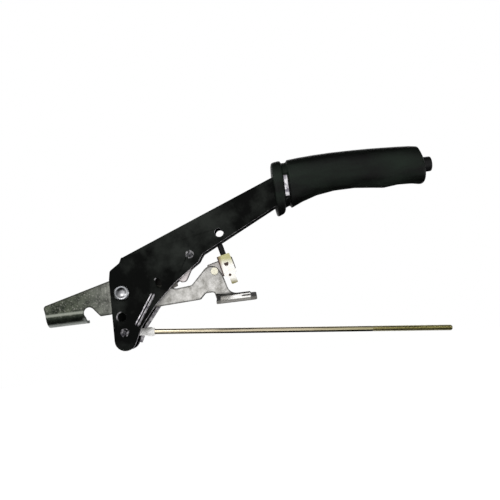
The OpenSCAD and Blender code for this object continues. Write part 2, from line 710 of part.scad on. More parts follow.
// Closed skin through rounded-square sections along X
module loft(stations) {
    sides = 28;
    square_power = 0.72;
    count = len(stations);
    function bulge(v) = sign(v) * pow(abs(v), square_power);
    rings = [for (s = stations, k = [0:sides - 1]) let(a = 360 * k / sides)
        [s[0], s[3] * bulge(cos(a)), (s[1] + s[2]) / 2 + (s[2] - s[1]) / 2 * bulge(sin(a))]];
    quads = [for (i = [0:count - 2], k = [0:sides - 1]) let(a = i * sides, b = a + sides, n = (k + 1) % sides)
        each [[a + k, b + k, b + n], [a + k, b + n, a + n]]];
    caps = [[for (k = [0:sides - 1]) k], [for (k = [0:sides - 1]) count * sides - 1 - k]];
    polyhedron(rings, concat(quads, caps));
}

// Rivet pin through the lever's two ears, on which the pull rod swings
module clevis_pin() {
    color("dimgray") at_pivot() difference() {
        union() {
            across([clevis_x, clevis_z], clevis_r, lever_near_out, lever_far_out);
            across([clevis_x, clevis_z], clevis_r + 0.4, lever_near_out - 1.1, lever_near_out);
            across([clevis_x, clevis_z], clevis_r + 2, lever_far_out, lever_far_out + 2.2);
        }
        across([clevis_x, clevis_z], clevis_r / 2, lever_near_out - 1.1 - cut, lever_near_out - 0.5);
    }
}

module clevis_spacers() {
    color("darkgray") at_pivot() {
        gap = eye_t / 2 + side_gap;
        tube_across([clevis_x, clevis_z], clevis_r, clevis_r + 2.2, lever_near_in, eye_y - gap);
        tube_across([clevis_x, clevis_z], clevis_r, clevis_r + 2.2, eye_y + gap, lever_far_in);
    }
}

// Pale plated eye with a sleeve crimped onto the end of the pull rod
module rod_eye() {
    color("whitesmoke") at_rod() difference() {
        union() {
            across([0, 0], eye_r, -eye_t / 2, eye_t / 2);
            translate([sleeve_start, 0, 0]) rotate([0, 90, 0]) rotate_extrude() polygon([
                [0, 0], [sleeve_r, 0], [sleeve_r, sleeve_len * 0.22], [swell_r - 0.3, sleeve_len * 0.42],
                [swell_r, sleeve_len * 0.6], [swell_r - 0.3, sleeve_len * 0.8], [sleeve_r, sleeve_len],
                [0, sleeve_len]]);
        }
        across([0, 0], clevis_r + pin_gap, -eye_t, eye_t);
        translate([rod_start, 0, 0]) rotate([0, 90, 0]) cylinder(r = rod_r, h = sleeve_len + cut);
    }
}

// Yellow-passivated pull rod, threaded at its free end
module pull_rod() {
    chamfer = 1;
    color("darkkhaki") at_rod() translate([rod_start, 0, 0]) rotate([0, 90, 0]) {
        cylinder(r = rod_r, h = rod_len - rod_start - thread_len);
        translate([0, 0, rod_len - rod_start - thread_len]) cylinder(r = thread_r, h = thread_len - chamfer);
        translate([0, 0, rod_len - rod_start - chamfer])
            cylinder(r1 = thread_r, r2 = thread_r - chamfer, h = chamfer);
    }
}

bracket_plate();
ratchet_sector();
sector_rivets();
pivot_pin();
pivot_spacers();
switch_tab();
switch_rivet();
switch_body();
switch_card();
switch_contact();
switch_spring();
switch_plunger();
lever_near_half();
lever_far_half();
pawl();
pawl_rivet();
pawl_spacers();
release_button();
release_rod();
release_spring();
rod_guide();
button_guide();
grip();
clevis_pin();
clevis_spacers();
rod_eye();
pull_rod();
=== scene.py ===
import math
import bpy
from mathutils import Matrix, Vector


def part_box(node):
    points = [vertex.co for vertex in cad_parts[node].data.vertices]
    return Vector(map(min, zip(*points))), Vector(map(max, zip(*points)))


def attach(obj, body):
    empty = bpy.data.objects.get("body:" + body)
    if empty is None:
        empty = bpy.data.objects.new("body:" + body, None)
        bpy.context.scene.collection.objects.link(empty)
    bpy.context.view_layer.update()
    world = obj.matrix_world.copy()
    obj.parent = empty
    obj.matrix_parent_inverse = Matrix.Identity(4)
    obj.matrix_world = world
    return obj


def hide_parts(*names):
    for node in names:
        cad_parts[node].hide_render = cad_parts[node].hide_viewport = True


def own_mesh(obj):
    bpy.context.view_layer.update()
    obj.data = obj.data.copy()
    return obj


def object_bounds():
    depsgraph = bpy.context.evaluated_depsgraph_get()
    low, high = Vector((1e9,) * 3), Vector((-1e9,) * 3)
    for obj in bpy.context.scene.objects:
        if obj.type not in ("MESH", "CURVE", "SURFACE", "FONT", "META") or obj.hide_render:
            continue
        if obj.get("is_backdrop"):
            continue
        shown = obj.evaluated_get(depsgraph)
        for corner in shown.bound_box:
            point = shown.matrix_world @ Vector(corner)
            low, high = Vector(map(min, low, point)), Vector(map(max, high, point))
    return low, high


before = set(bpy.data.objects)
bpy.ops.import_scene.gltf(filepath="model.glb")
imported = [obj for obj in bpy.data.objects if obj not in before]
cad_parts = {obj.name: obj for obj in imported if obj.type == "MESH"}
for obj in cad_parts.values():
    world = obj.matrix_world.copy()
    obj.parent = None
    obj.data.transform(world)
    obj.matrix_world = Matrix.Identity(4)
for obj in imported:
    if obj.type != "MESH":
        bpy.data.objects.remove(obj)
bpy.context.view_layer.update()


# Studio: a matt white floor well below the lever, a white surround and soft lamps.
# The lever hangs above the floor as it does in a catalogue picture, so its shadow falls
# below the frame and the pull rod clears the floor when it hangs straight down.
def linear(code):
    """Linear colour of an sRGB hex value"""
    parts = [int(code[i:i + 2], 16) / 255 for i in (1, 3, 5)]
    return [p / 12.92 if p <= 0.04045 else ((p + 0.055) / 1.055) ** 2.4 for p in parts] + [1.0]


def wire(tree, kind, inputs=None, **settings):
    """Adds one node; an input is a plain value, a socket, or a node whose first live output feeds it"""
    made = tree.nodes.new("ShaderNode" + kind)
    for name, value in settings.items():
        setattr(made, name, value)
    for key, value in (inputs or {}).items():
        if isinstance(value, bpy.types.Node):
            value = next(o for o in value.outputs if o.enabled)
        if isinstance(value, bpy.types.NodeSocket):
            tree.links.new(value, made.inputs[key])
        else:
            made.inputs[key].default_value = value
    return made


def started(name):
    """A new material and its node tree, still empty"""
    material = bpy.data.materials.new(name)
    material.use_nodes = True
    material.node_tree.nodes.clear()
    return material, material.node_tree


def watched(tree):
    """One for a ray from the camera or by way of a glossy or clear surface, nought for the rest"""
    rays = wire(tree, "LightPath").outputs
    seen = wire(tree, "Math", {0: rays["Is Camera Ray"], 1: rays["Is Glossy Ray"]}, operation="MAXIMUM")
    return wire(tree, "Math", {0: seen, 1: rays["Is Transmission Ray"]}, operation="MAXIMUM")


floor_height = -0.40
bpy.ops.mesh.primitive_plane_add(size=8.0, location=(0.16, 0.0, floor_height))
floor = bpy.context.object
floor.name = "studio_floor"
floor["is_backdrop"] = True

# Matt white paint that glows a little where it is looked at, so that it shows as white as the surround.
floor_paint, tree = started("matt white studio floor")
glow_share = wire(tree, "Math", {0: watched(tree), 1: 0.58}, operation="MULTIPLY")
matt = wire(tree, "BsdfDiffuse", {"Color": linear("#F6F6F6")})
glow = wire(tree, "Emission", {"Strength": glow_share})
both = wire(tree, "AddShader", {0: matt, 1: glow})
wire(tree, "OutputMaterial", {"Surface": both})
floor.data.materials.append(floor_paint)

# The surround is white to look at and a softer white as a lamp.
surround = bpy.data.worlds.new("white studio surround")
bpy.context.scene.world = surround
surround.use_nodes = True
tree = surround.node_tree
tree.nodes.clear()
soft = wire(tree, "Background", {"Color": (1.0, 1.0, 1.0, 1.0), "Strength": 0.55})
white = wire(tree, "Background", {"Color": (1.0, 1.0, 1.0, 1.0), "Strength": 1.0})
both = wire(tree, "MixShader", {0: watched(tree), 1: soft, 2: white})
wire(tree, "OutputWorld", {"Surface": both})

aim = Vector((0.15, 0.0, 0.04))
for name, place, size, watts in (
    ("front_softbox", (-0.25, -1.30, 0.75), 0.70, 6.0),
    ("left_strip", (-0.95, -0.25, 0.62), 0.35, 3.0),
    ("right_low_strip", (0.98, -0.18, -0.13), 0.22, 1.6),
    ("back_fill", (0.35, 1.20, 0.70), 0.80, 4.0),
):
    bpy.ops.object.light_add(type="AREA", location=place)
    lamp = bpy.context.object
    lamp.name = name
    lamp.rotation_euler = (aim - Vector(place)).to_track_quat("-Z", "Y").to_euler()
    lamp.data.size = size
    lamp.data.energy = watts

# Felt cards round the lever, seen only in reflections: black below and behind, dark grey above and grey
# past both ends. They draw the dark line that a rounded edge shows against a white room.
for name, place, turn, reach, tone in (
    ("card_above", (0.15, 0.02, 0.50), (math.pi, 0.0, 0.0), (1.7, 0.62), "#282828"),
    ("card_left", (-0.62, 0.02, 0.10), (0.0, math.pi / 2, 0.0), (0.62, 0.62), "#505050"),
    ("card_right", (0.92, 0.02, 0.10), (0.0, -math.pi / 2, 0.0), (0.62, 0.62), "#505050"),
    ("card_below", (0.15, -0.16, -0.385), (0.0, 0.0, 0.0), (3.0, 0.60), "#141414"),
    ("card_far_below", (0.80, 1.17, -0.385), (0.0, 0.0, 0.0), (1.42, 2.06), "#141414"),
    ("card_behind", (0.80, 2.20, 0.31), (math.pi / 2, 0.0, 0.0), (1.42, 1.40), "#141414"),
):
    bpy.ops.mesh.primitive_plane_add(size=1.0, location=place, rotation=turn)
    felt_card = bpy.context.object
    felt_card.name = name
    felt_card.scale = (reach[0], reach[1], 1.0)
    felt_card.visible_camera = False
    felt_card.visible_diffuse = False
    felt_card.visible_shadow = False
    felt_card.visible_transmission = False
    card_felt, tree = started("felt of " + name)
    felt = wire(tree, "BsdfDiffuse", {"Color": linear(tone)})
    wire(tree, "OutputMaterial", {"Surface": felt})
    felt_card.data.materials.append(card_felt)
    felt_card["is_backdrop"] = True

# Camera: square on to the near side from a little below, rolled seven degrees as the
# lever lies in the photograph.
roll = math.radians(7.0)
tilt = math.radians(4.0)
right = Vector((math.cos(roll), 0.0, -math.sin(roll)))
upright = Vector((math.sin(roll), 0.0, math.cos(roll)))
ahead = Vector((0.0, 1.0, 0.0)) * math.cos(tilt) + upright * math.sin(tilt)
overhead = right.cross(ahead)
bpy.ops.object.camera_add()
camera = bpy.context.object
camera.name = "catalogue_camera"
photo_middle = Vector((0.165, 0.005, 0.043))
camera_distance = 0.7
stand = Matrix((right, overhead, -ahead)).transposed().to_4x4()
stand.translation = photo_middle - camera_distance * ahead
camera.matrix_world = stand
camera.data.sensor_width = 36.0
camera.data.lens = 50.4
camera.data.clip_start = 0.01
bpy.context.scene.camera = camera
bpy.context.scene.view_settings.view_transform = "Standard"


# Floor bracket: one 3 mm steel stamping with a hook for the floor stud, a hump behind
# the lever and a foot that is bolted down. It is zinc plated and passivated after
# forming, and its sheared edges are slightly rolled over.
weld_distance = 0.000004
flat_angle = math.radians(0.4)
sharp_angle = math.radians(30.0)
smooth_angle = math.radians(40.0)


def dressed(node, name, coat, edge=0.0, steps=2, full=False, merged=True, spared=None):
    """A welded copy of a solid in one material, its sharp edges rolled over to a width

    full keeps the whole width even beside short edges, merged joins the triangles of flat faces first,
    and spared says which points keep crisp edges.
    """
    bpy.ops.object.select_all(action="DESELECT")
    piece = bpy.data.objects.new(name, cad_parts[node].data.copy())
    bpy.context.collection.objects.link(piece)
    bpy.context.view_layer.objects.active = piece
    piece.select_set(True)
    bpy.ops.object.mode_set(mode="EDIT")
    bpy.ops.mesh.select_all(action="SELECT")
    bpy.ops.mesh.remove_doubles(threshold=weld_distance)
    bpy.ops.mesh.customdata_custom_splitnormals_clear()
    if merged:
        bpy.ops.mesh.dissolve_limited(angle_limit=flat_angle)
    bpy.ops.object.mode_set(mode="OBJECT")
    if edge > 0.0:
        bpy.ops.object.mode_set(mode="EDIT")
        bpy.ops.mesh.select_mode(type="EDGE")
        bpy.ops.mesh.select_all(action="DESELECT")
        bpy.ops.mesh.edges_select_sharp(sharpness=sharp_angle)
        bpy.ops.object.mode_set(mode="OBJECT")
        points = piece.data.vertices
        weights = piece.data.attributes.new("bevel_weight_edge", "FLOAT", "EDGE")
        for line in piece.data.edges:
            middle = (points[line.vertices[0]].co + points[line.vertices[1]].co) / 2
            if line.select and not (spared and spared(middle)):
                weights.data[line.index].value = 1.0
        rolled = piece.modifiers.new("rolled edge", "BEVEL")
        rolled.width = edge
        rolled.segments = steps
        rolled.limit_method = "WEIGHT"
        rolled.use_clamp_overlap = not full
        bpy.ops.object.modifier_apply(modifier=rolled.name)
    bpy.ops.object.shade_smooth_by_angle(angle=smooth_angle)
    flats = piece.modifiers.new("flats stay flat", "WEIGHTED_NORMAL")
    flats.keep_sharp = True
    bpy.ops.object.modifier_apply(modifier=flats.name)
    piece.data.materials.clear()
    piece.data.materials.append(coat)
    return piece


def edge_turn(tree, reach):
    """How far the surface turns within reach of a point: one on a flat face, less beside an edge"""
    rounded = wire(tree, "Bevel", {"Radius": reach}, samples=8)
    flat = wire(tree, "NewGeometry").outputs["Normal"]
    return wire(tree, "VectorMath", {0: rounded, 1: flat}, operation="DOT_PRODUCT")


# Zinc plate, dull passivated: a metal with a cloudy film of 7.5 mm clouds and 1.6 mm specks. It is olive
# and mottled at the hook and paler towards the foot. At the hook's bend a band of painted shade lies
# between a painted highlight along the crease and a painted pale reflection on the flange's lower edge
# and tip. The hump has painted shade towards its top, and the tab behind it is paler. The sheared edges
# carry a painted dark reflection and the rib a painted shade, the ends of the foot are dark, and the
# bracket is painted dark behind the lever's slot as shade.
zinc, tree = started("zinc plated steel")
place = wire(tree, "TexCoord").outputs["Object"]
x, y, z = wire(tree, "SeparateXYZ", {0: place}).outputs
cloud = wire(tree, "TexNoise", {"Vector": place, "Scale": 1 / 0.0075, "Detail": 6.0, "Roughness": 0.65})
cloud_share = wire(tree, "MapRange", {0: cloud, 1: 0.36, 2: 0.64})
speck = wire(tree, "TexNoise", {"Vector": place, "Scale": 1 / 0.0016, "Detail": 3.0})
speck_share = wire(tree, "MapRange", {0: speck, 1: 0.55, 2: 0.75, 4: 0.4})
paler = wire(tree, "MapRange", {0: x, 1: -0.02, 2: 0.125}, interpolation_type="SMOOTHSTEP")
deep = wire(tree, "Mix", {0: paler, 6: linear("#20251E"), 7: linear("#979590")}, data_type="RGBA")
bloom = wire(tree, "Mix", {0: paler, 6: linear("#4F5448"), 7: linear("#D8D6D3")}, data_type="RGBA")
film = wire(tree, "Mix", {0: cloud_share, 6: deep, 7: bloom}, data_type="RGBA")
hump_side = wire(tree, "MapRange", {0: x, 1: 0.095, 2: 0.120})
# Painted shade: the hump darkens towards its top.
painted_hump_shade = wire(tree, "MapRange", {0: z, 1: 0.010, 2: 0.034, 4: 0.5})
painted_hump_shade = wire(tree, "Math", {0: painted_hump_shade, 1: hump_side}, operation="MULTIPLY")
on_tab = wire(tree, "MapRange", {0: y, 1: 0.0014, 2: 0.0018, 4: 0.8})
on_tab = wire(tree, "Math", {0: on_tab, 1: hump_side}, operation="MULTIPLY")
hook_side = wire(tree, "MapRange", {0: x, 1: 0.0005, 2: -0.0045})
# Painted highlight: a light line along the crease of the hook's bend.
painted_crease_highlight = wire(tree, "Math", {0: z, 1: 0.0017}, operation="SUBTRACT")
painted_crease_highlight = wire(tree, "Math", {0: painted_crease_highlight}, operation="ABSOLUTE")
painted_crease_highlight = wire(tree, "MapRange", {0: painted_crease_highlight, 1: 0.0018, 2: 0.0006, 4: 0.65})
painted_crease_highlight = wire(tree, "Math", {0: painted_crease_highlight, 1: hook_side}, operation="MULTIPLY")
# Painted shade: a dark band across the hook's bend.
painted_bend_shade = wire(tree, "MapRange", {0: z, 1: 0.0008, 2: -0.0018, 4: 0.75})
bend_out = wire(tree, "MapRange", {0: z, 1: -0.0076, 2: -0.0058})
for share in (bend_out, hook_side):
    painted_bend_shade = wire(tree, "Math", {0: painted_bend_shade, 1: share}, operation="MULTIPLY")
# Painted reflection: the lower edge and the end of the hook's flange are painted paler grey.
flange_low = wire(tree, "MapRange", {0: z, 1: -0.0062, 2: -0.0078, 4: 0.8})
flange_tip = wire(tree, "MapRange", {0: x, 1: -0.0085, 2: -0.0060, 4: 0.8})
tip_low = wire(tree, "MapRange", {0: z, 1: -0.0030, 2: -0.0050})
flange_tip = wire(tree, "Math", {0: flange_tip, 1: tip_low}, operation="MULTIPLY")
painted_flange_reflection = wire(tree, "Math", {0: flange_low, 1: flange_tip}, operation="MAXIMUM")
painted_flange_reflection = wire(tree, "Math", {0: painted_flange_reflection, 1: hook_side}, operation="MULTIPLY")
# Painted shade: the bracket is darkened behind the lever's slot, where the lever shades it.
behind_slot = (0.0719, 0.0, 0.0212)
painted_slot_shade = wire(tree, "VectorMath", {0: place, 1: behind_slot}, operation="DISTANCE")
painted_slot_shade = wire(tree, "MapRange", {0: painted_slot_shade, 1: 0.0105, 2: 0.0085})
# Painted dark reflection along the sheared edges, kept off the hook's bend.
painted_edge_dark = wire(tree, "MapRange", {0: edge_turn(tree, 0.0028), 1: 0.994, 2: 0.96})
off_bend = wire(tree, "MapRange", {0: z, 1: 0.0042, 2: 0.0032})
off_bend = wire(tree, "Math", {0: off_bend, 1: hook_side}, operation="MULTIPLY")
off_bend = wire(tree, "Math", {0: 1.0, 1: off_bend}, operation="SUBTRACT")
painted_edge_dark = wire(tree, "Math", {0: painted_edge_dark, 1: off_bend}, operation="MULTIPLY")
on_foot = wire(tree, "MapRange", {0: y, 1: -0.0018, 2: -0.0030})
foot_left = wire(tree, "MapRange", {0: x, 1: 0.1318, 2: 0.1306})
foot_right = wire(tree, "MapRange", {0: x, 1: 0.1596, 2: 0.1606})
foot_ends = wire(tree, "Math", {0: foot_left, 1: foot_right}, operation="MAXIMUM")
foot_ends = wire(tree, "Math", {0: foot_ends, 1: on_foot}, operation="MULTIPLY")
foot_front = wire(tree, "MapRange", {0: y, 1: -0.0242, 2: -0.0252, 4: 0.75})
# Painted shade on the front of the rib along the foot.
painted_rib_shade = wire(tree, "MapRange", {0: z, 1: 0.0050, 2: 0.0024, 4: 0.9})
rib_left = wire(tree, "MapRange", {0: x, 1: 0.1255, 2: 0.1285})
rib_back = wire(tree, "MapRange", {0: y, 1: -0.0022, 2: -0.0016})
for share in (rib_left, rib_back):
    painted_rib_shade = wire(tree, "Math", {0: painted_rib_shade, 1: share}, operation="MULTIPLY")
for share, colour in (
    (speck_share, "#C7C3BC"), (painted_hump_shade, "#605F5B"), (on_tab, "#EFE6E4"), (painted_crease_highlight, "#A9ADA2"),
    (painted_bend_shade, "#2C332B"), (painted_flange_reflection, "#7E837E"), (painted_slot_shade, "#1C1D19"), (painted_edge_dark, "#262622"),
    (foot_ends, "#1E1E1C"), (foot_front, "#7D7B76"), (painted_rib_shade, "#2B2A27"),
):
    film = wire(tree, "Mix", {0: share, 6: film, 7: linear(colour)}, data_type="RGBA")
matt_share = wire(tree, "Math", {0: foot_ends, 1: painted_flange_reflection}, operation="MAXIMUM")
shine = wire(tree, "MapRange", {0: matt_share, 3: 0.9, 4: 0.0})
dull = wire(tree, "MapRange", {0: cloud, 1: 0.3, 2: 0.7, 3: 0.32, 4: 0.5})
dull = wire(tree, "Math", {0: dull, 1: foot_ends}, operation="MAXIMUM")
grain = wire(tree, "Bump", {"Height": speck, "Strength": 0.25, "Distance": 0.00004})
skin = wire(
    tree, "BsdfPrincipled", {"Base Color": film, "Metallic": shine, "Roughness": dull, "Normal": grain},
)
wire(tree, "OutputMaterial", {"Surface": skin})

bracket = dressed("bracket_plate", "floor_bracket", zinc, edge=0.00055, steps=3, full=True)
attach(bracket, "bracket")
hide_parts("bracket_plate")


# Ratchet sector: a hardened toothed plate behind the bracket, held by two peened rivets.
# It is blanked from 4 mm spring steel, so its teeth keep crisp edges.

# Hardened steel, oiled: mid grey with 6 mm clouds, and painted black with shade behind the lever's slot.
steel, tree = started("hardened steel, oiled")
place = wire(tree, "TexCoord").outputs["Object"]
cloud = wire(tree, "TexNoise", {"Vector": place, "Scale": 1 / 0.006, "Detail": 5.0})
film = wire(tree, "Mix", {0: cloud, 6: linear("#5A5856"), 7: linear("#8C8883")}, data_type="RGBA")
# Painted shade: the teeth go black behind the lever's slot, where the lever shades them.
teeth_behind_slot = (0.0698, 0.004, 0.0227)
clear_of_slot_shade = wire(tree, "VectorMath", {0: place, 1: teeth_behind_slot}, operation="DISTANCE")
clear_of_slot_shade = wire(tree, "MapRange", {0: clear_of_slot_shade, 1: 0.009, 2: 0.015})
film = wire(tree, "Mix", {0: clear_of_slot_shade, 6: linear("#191817"), 7: film}, data_type="RGBA")
grit = wire(tree, "TexNoise", {"Vector": place, "Scale": 1 / 0.0008, "Detail": 2.0})
dull = wire(tree, "MapRange", {0: grit, 3: 0.28, 4: 0.5})
grain = wire(tree, "Bump", {"Height": grit, "Strength": 0.2, "Distance": 0.00003})
skin = wire(
    tree, "BsdfPrincipled",
    {"Base Color": film, "Metallic": 1.0, "Roughness": dull, "Normal": grain},
)
wire(tree, "OutputMaterial", {"Surface": skin})

sector = dressed("ratchet_sector", "toothed_sector", steel, edge=0.00025)
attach(sector, "bracket")
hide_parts("ratchet_sector")

rivets = dressed("sector_rivets", "sector_rivet_pair", zinc, edge=0.0003, steps=3)
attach(rivets, "bracket")
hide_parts("sector_rivets")


# Pivot pin: a shouldered pin through both lever plates and the bracket, with a cupped head
# spun over on the near side. It is cold headed and bright plated.
pivot = Vector((0.0355, 0.0, 0.0155))


def off_pivot(tree, place):
    """A point's offset from the pivot, square to the pin's length"""
    offset = wire(tree, "VectorMath", {0: place, 1: pivot}, operation="SUBTRACT")
    return wire(tree, "VectorMath", {0: offset, 1: (1.0, 0.0, 1.0)}, operation="MULTIPLY")


# Bright plate: a pale metal with 4.5 mm clouds and a soft gleam, darker in a ring 6 mm round the pivot.
bright, tree = started("bright plated steel")
place = wire(tree, "TexCoord").outputs["Object"]
cloud = wire(tree, "TexNoise", {"Vector": place, "Scale": 1 / 0.0045, "Detail": 4.0})
film = wire(tree, "Mix", {0: cloud, 6: linear("#A3A5A8"), 7: linear("#CFCFD0")}, data_type="RGBA")
ring_round_pivot = wire(tree, "VectorMath", {0: off_pivot(tree, place)}, operation="LENGTH")
ring_round_pivot = wire(tree, "Math", {0: ring_round_pivot, 1: 0.0060}, operation="SUBTRACT")
ring_round_pivot = wire(tree, "Math", {0: ring_round_pivot}, operation="ABSOLUTE")
ring_round_pivot = wire(tree, "MapRange", {0: ring_round_pivot, 1: 0.0009, 2: 0.0003, 4: 0.7})
film = wire(tree, "Mix", {0: ring_round_pivot, 6: film, 7: linear("#6C7074")}, data_type="RGBA")
grit = wire(tree, "TexNoise", {"Vector": place, "Scale": 1 / 0.0011, "Detail": 2.0})
dull = wire(tree, "MapRange", {0: grit, 3: 0.28, 4: 0.36})
grain = wire(tree, "Bump", {"Height": grit, "Strength": 0.02, "Distance": 0.00003})
skin = wire(
    tree, "BsdfPrincipled",
    {"Base Color": film, "Metallic": 1.0, "Roughness": dull, "Normal": grain},
)
wire(tree, "OutputMaterial", {"Surface": skin})

# The cup of the head is painted with shade and a highlight: painted shade up and left, a painted
# highlight down and right.
cupped = bright.copy()
cupped.name = "bright plated steel, cup with painted shade"
tree = cupped.node_tree
place = wire(tree, "TexCoord").outputs["Object"]
across_pin = off_pivot(tree, place)
in_cup = wire(tree, "VectorMath", {0: across_pin}, operation="LENGTH")
in_cup = wire(tree, "MapRange", {0: in_cup, 1: 0.0060, 2: 0.0050, 4: 0.9})
# Painted shade and highlight across the cup, by direction.
shade_run = wire(tree, "VectorMath", {0: across_pin, 1: (0.75, 0.0, -0.66)}, operation="DOT_PRODUCT")
cup_light = wire(tree, "MapRange", {0: shade_run, 1: -0.0030, 2: 0.0034})
painted_cup_shading = wire(tree, "Mix", {0: cup_light, 6: linear("#35363A"), 7: linear("#D9D9DB")}, data_type="RGBA")
skin = tree.nodes[skin.name]
film = skin.inputs["Base Color"].links[0].from_socket
film = wire(tree, "Mix", {0: in_cup, 6: film, 7: painted_cup_shading}, data_type="RGBA")
tree.links.new(next(o for o in film.outputs if o.enabled), skin.inputs["Base Color"])

pin = dressed("pivot_pin", "cupped_pivot_pin", cupped, edge=0.0006, steps=3)
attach(pin, "bracket")
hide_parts("pivot_pin")

collars = dressed("pivot_spacers", "pivot_collars", steel, edge=0.0003)
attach(collars, "bracket")
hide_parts("pivot_spacers")


# Warning lamp switch: a plated tab riveted behind the hump carries a brown moulded body, an
# insulating card and a yellow passivated contact strip that ends in a 6.3 mm spade.
tab = dressed("switch_tab", "switch_tab_plate", zinc, edge=0.0004, full=True)
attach(tab, "bracket")
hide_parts("switch_tab")

# Phenolic moulding: brown filled resin, slightly glossy, with a fine flow mottle.
phenolic, tree = started("brown phenolic moulding")
place = wire(tree, "TexCoord").outputs["Object"]
cloud = wire(tree, "TexNoise", {"Vector": place, "Scale": 1 / 0.003, "Detail": 5.0})
film = wire(tree, "Mix", {0: cloud, 6: linear("#2A1710"), 7: linear("#4A2E1E")}, data_type="RGBA")
dull = wire(tree, "MapRange", {0: cloud, 3: 0.35, 4: 0.55})
grain = wire(tree, "Bump", {"Height": cloud, "Strength": 0.2, "Distance": 0.00004})
skin = wire(tree, "BsdfPrincipled", {"Base Color": film, "Roughness": dull, "Normal": grain})
wire(tree, "OutputMaterial", {"Surface": skin})

switch_body = dressed("switch_body", "moulded_switch_body", phenolic, edge=0.0004)
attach(switch_body, "bracket")
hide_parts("switch_body")

card = dressed("switch_card", "insulating_card", phenolic, edge=0.0001)
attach(card, "bracket")
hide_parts("switch_card")

# Yellow passivated zinc: a metal film that is nearly white in the middle of the strip, olive at
# both its ends and brown along its left edge. The rivet beside the strip has kept a cream film.
straw, tree = started("yellow passivated strip")
place = wire(tree, "TexCoord").outputs["Object"]
x, _, z = wire(tree, "SeparateXYZ", {0: place}).outputs
cloud = wire(tree, "TexNoise", {"Vector": place, "Scale": 1 / 0.004, "Detail": 4.0})
film = wire(tree, "Mix", {0: cloud, 6: linear("#EBE8E0"), 7: linear("#FAF8F4")}, data_type="RGBA")
upper = wire(tree, "MapRange", {0: z, 1: 0.030, 2: 0.037})
lower = wire(tree, "MapRange", {0: z, 1: 0.0175, 2: 0.0125})
left_edge_top = (0.1325, 0.0, 0.0386)
side_off = wire(tree, "VectorMath", {0: place, 1: left_edge_top}, operation="SUBTRACT")
side_off = wire(tree, "VectorMath", {0: side_off, 1: (-0.996, 0.0, -0.093)}, operation="DOT_PRODUCT")
browned = wire(tree, "MapRange", {0: side_off, 1: -0.0036, 2: -0.0010, 4: 0.75})
side_out = wire(tree, "MapRange", {0: side_off, 1: 0.0020, 2: 0.0010})
side_high = wire(tree, "MapRange", {0: z, 1: 0.022, 2: 0.030})
for share in (side_out, side_high):
    browned = wire(tree, "Math", {0: browned, 1: share}, operation="MULTIPLY")
on_rivet = wire(tree, "MapRange", {0: x, 1: 0.1315, 2: 0.1305, 4: 0.7})
for share, colour in (
    (upper, "#B4B184"), (lower, "#857F58"), (browned, "#6E5242"), (on_rivet, "#DBD6BC"),
):
    film = wire(tree, "Mix", {0: share, 6: film, 7: linear(colour)}, data_type="RGBA")
dull = wire(tree, "MapRange", {0: cloud, 3: 0.25, 4: 0.42})
grain = wire(tree, "Bump", {"Height": cloud, "Strength": 0.1, "Distance": 0.00004})
skin = wire(
    tree, "BsdfPrincipled",
    {"Base Color": film, "Metallic": 0.9, "Roughness": dull, "Normal": grain},
)
wire(tree, "OutputMaterial", {"Surface": skin})

strip = dressed("switch_contact", "contact_strip", straw, edge=0.00015)
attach(strip, "bracket")
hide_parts("switch_contact")

# A brown moulded peg fills the strip's round hole and keeps the strip from turning; it also stands in,
# dark, for the shade inside the hole.
bpy.ops.object.select_all(action="DESELECT")
bpy.ops.mesh.primitive_cylinder_add(
    vertices=32, radius=0.00132, depth=0.0012, location=(0.14257, -0.0069, 0.02033),
    rotation=(math.pi / 2, 0.0, 0.0),
)
peg = bpy.context.object
peg.name = "strip_peg_in_hole_shade"
bpy.ops.object.transform_apply()
bpy.ops.object.shade_smooth_by_angle(angle=smooth_angle)
peg.data.materials.append(phenolic)
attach(peg, "bracket")

rivet = dressed("switch_rivet", "switch_tab_rivet", straw, edge=0.0005, steps=3)
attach(rivet, "bracket")
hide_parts("switch_rivet")


# Switch spring: a small coil under the switch plunger, wound at an even pitch from round wire.
# The wire is hard drawn, so it is smooth and shiny along its length.
steps_per_turn = 24


def capped(weld=0.0):
    """Fills the open ends of the active sweep and turns its faces outwards; weld joins its turns first"""
    bpy.ops.object.mode_set(mode="EDIT")
    bpy.ops.mesh.select_mode(type="EDGE")
    if weld > 0.0:
        bpy.ops.mesh.select_all(action="SELECT")
        bpy.ops.mesh.remove_doubles(threshold=weld)
    bpy.ops.mesh.select_all(action="DESELECT")
    bpy.ops.mesh.select_non_manifold()
    bpy.ops.mesh.edge_face_add()
    bpy.ops.mesh.select_all(action="SELECT")
    bpy.ops.mesh.normals_make_consistent(inside=False)
    bpy.ops.object.mode_set(mode="OBJECT")


def stood(piece, foot, axis):
    """Moves the selected piece, made along Z from the origin, to its foot and turns it along its axis"""
    turn = Vector((0.0, 0.0, 1.0)).rotation_difference(Vector(axis)).to_matrix().to_4x4()
    piece.matrix_world = Matrix.Translation(foot) @ turn
    bpy.ops.object.transform_apply()


def coiled(name, foot, axis, length, ring, wire_radius, turns):
    """A round wire wound into a coil: a circle of wire swept by a screw, its ends filled"""
    bpy.ops.object.select_all(action="DESELECT")
    bpy.ops.mesh.primitive_circle_add(
        vertices=10, radius=wire_radius, location=(ring, 0.0, wire_radius),
        rotation=(math.pi / 2, 0.0, 0.0),
    )
    piece = bpy.context.object
    piece.name = name
    bpy.ops.object.transform_apply()
    winding = piece.modifiers.new("winding", "SCREW")
    winding.angle = turns * 2 * math.pi
    winding.screw_offset = length - 2 * wire_radius
    winding.steps = turns * steps_per_turn
    winding.render_steps = turns * steps_per_turn
    winding.use_smooth_shade = True
    bpy.ops.object.modifier_apply(modifier=winding.name)
    capped()
    stood(piece, foot, axis)
    return piece


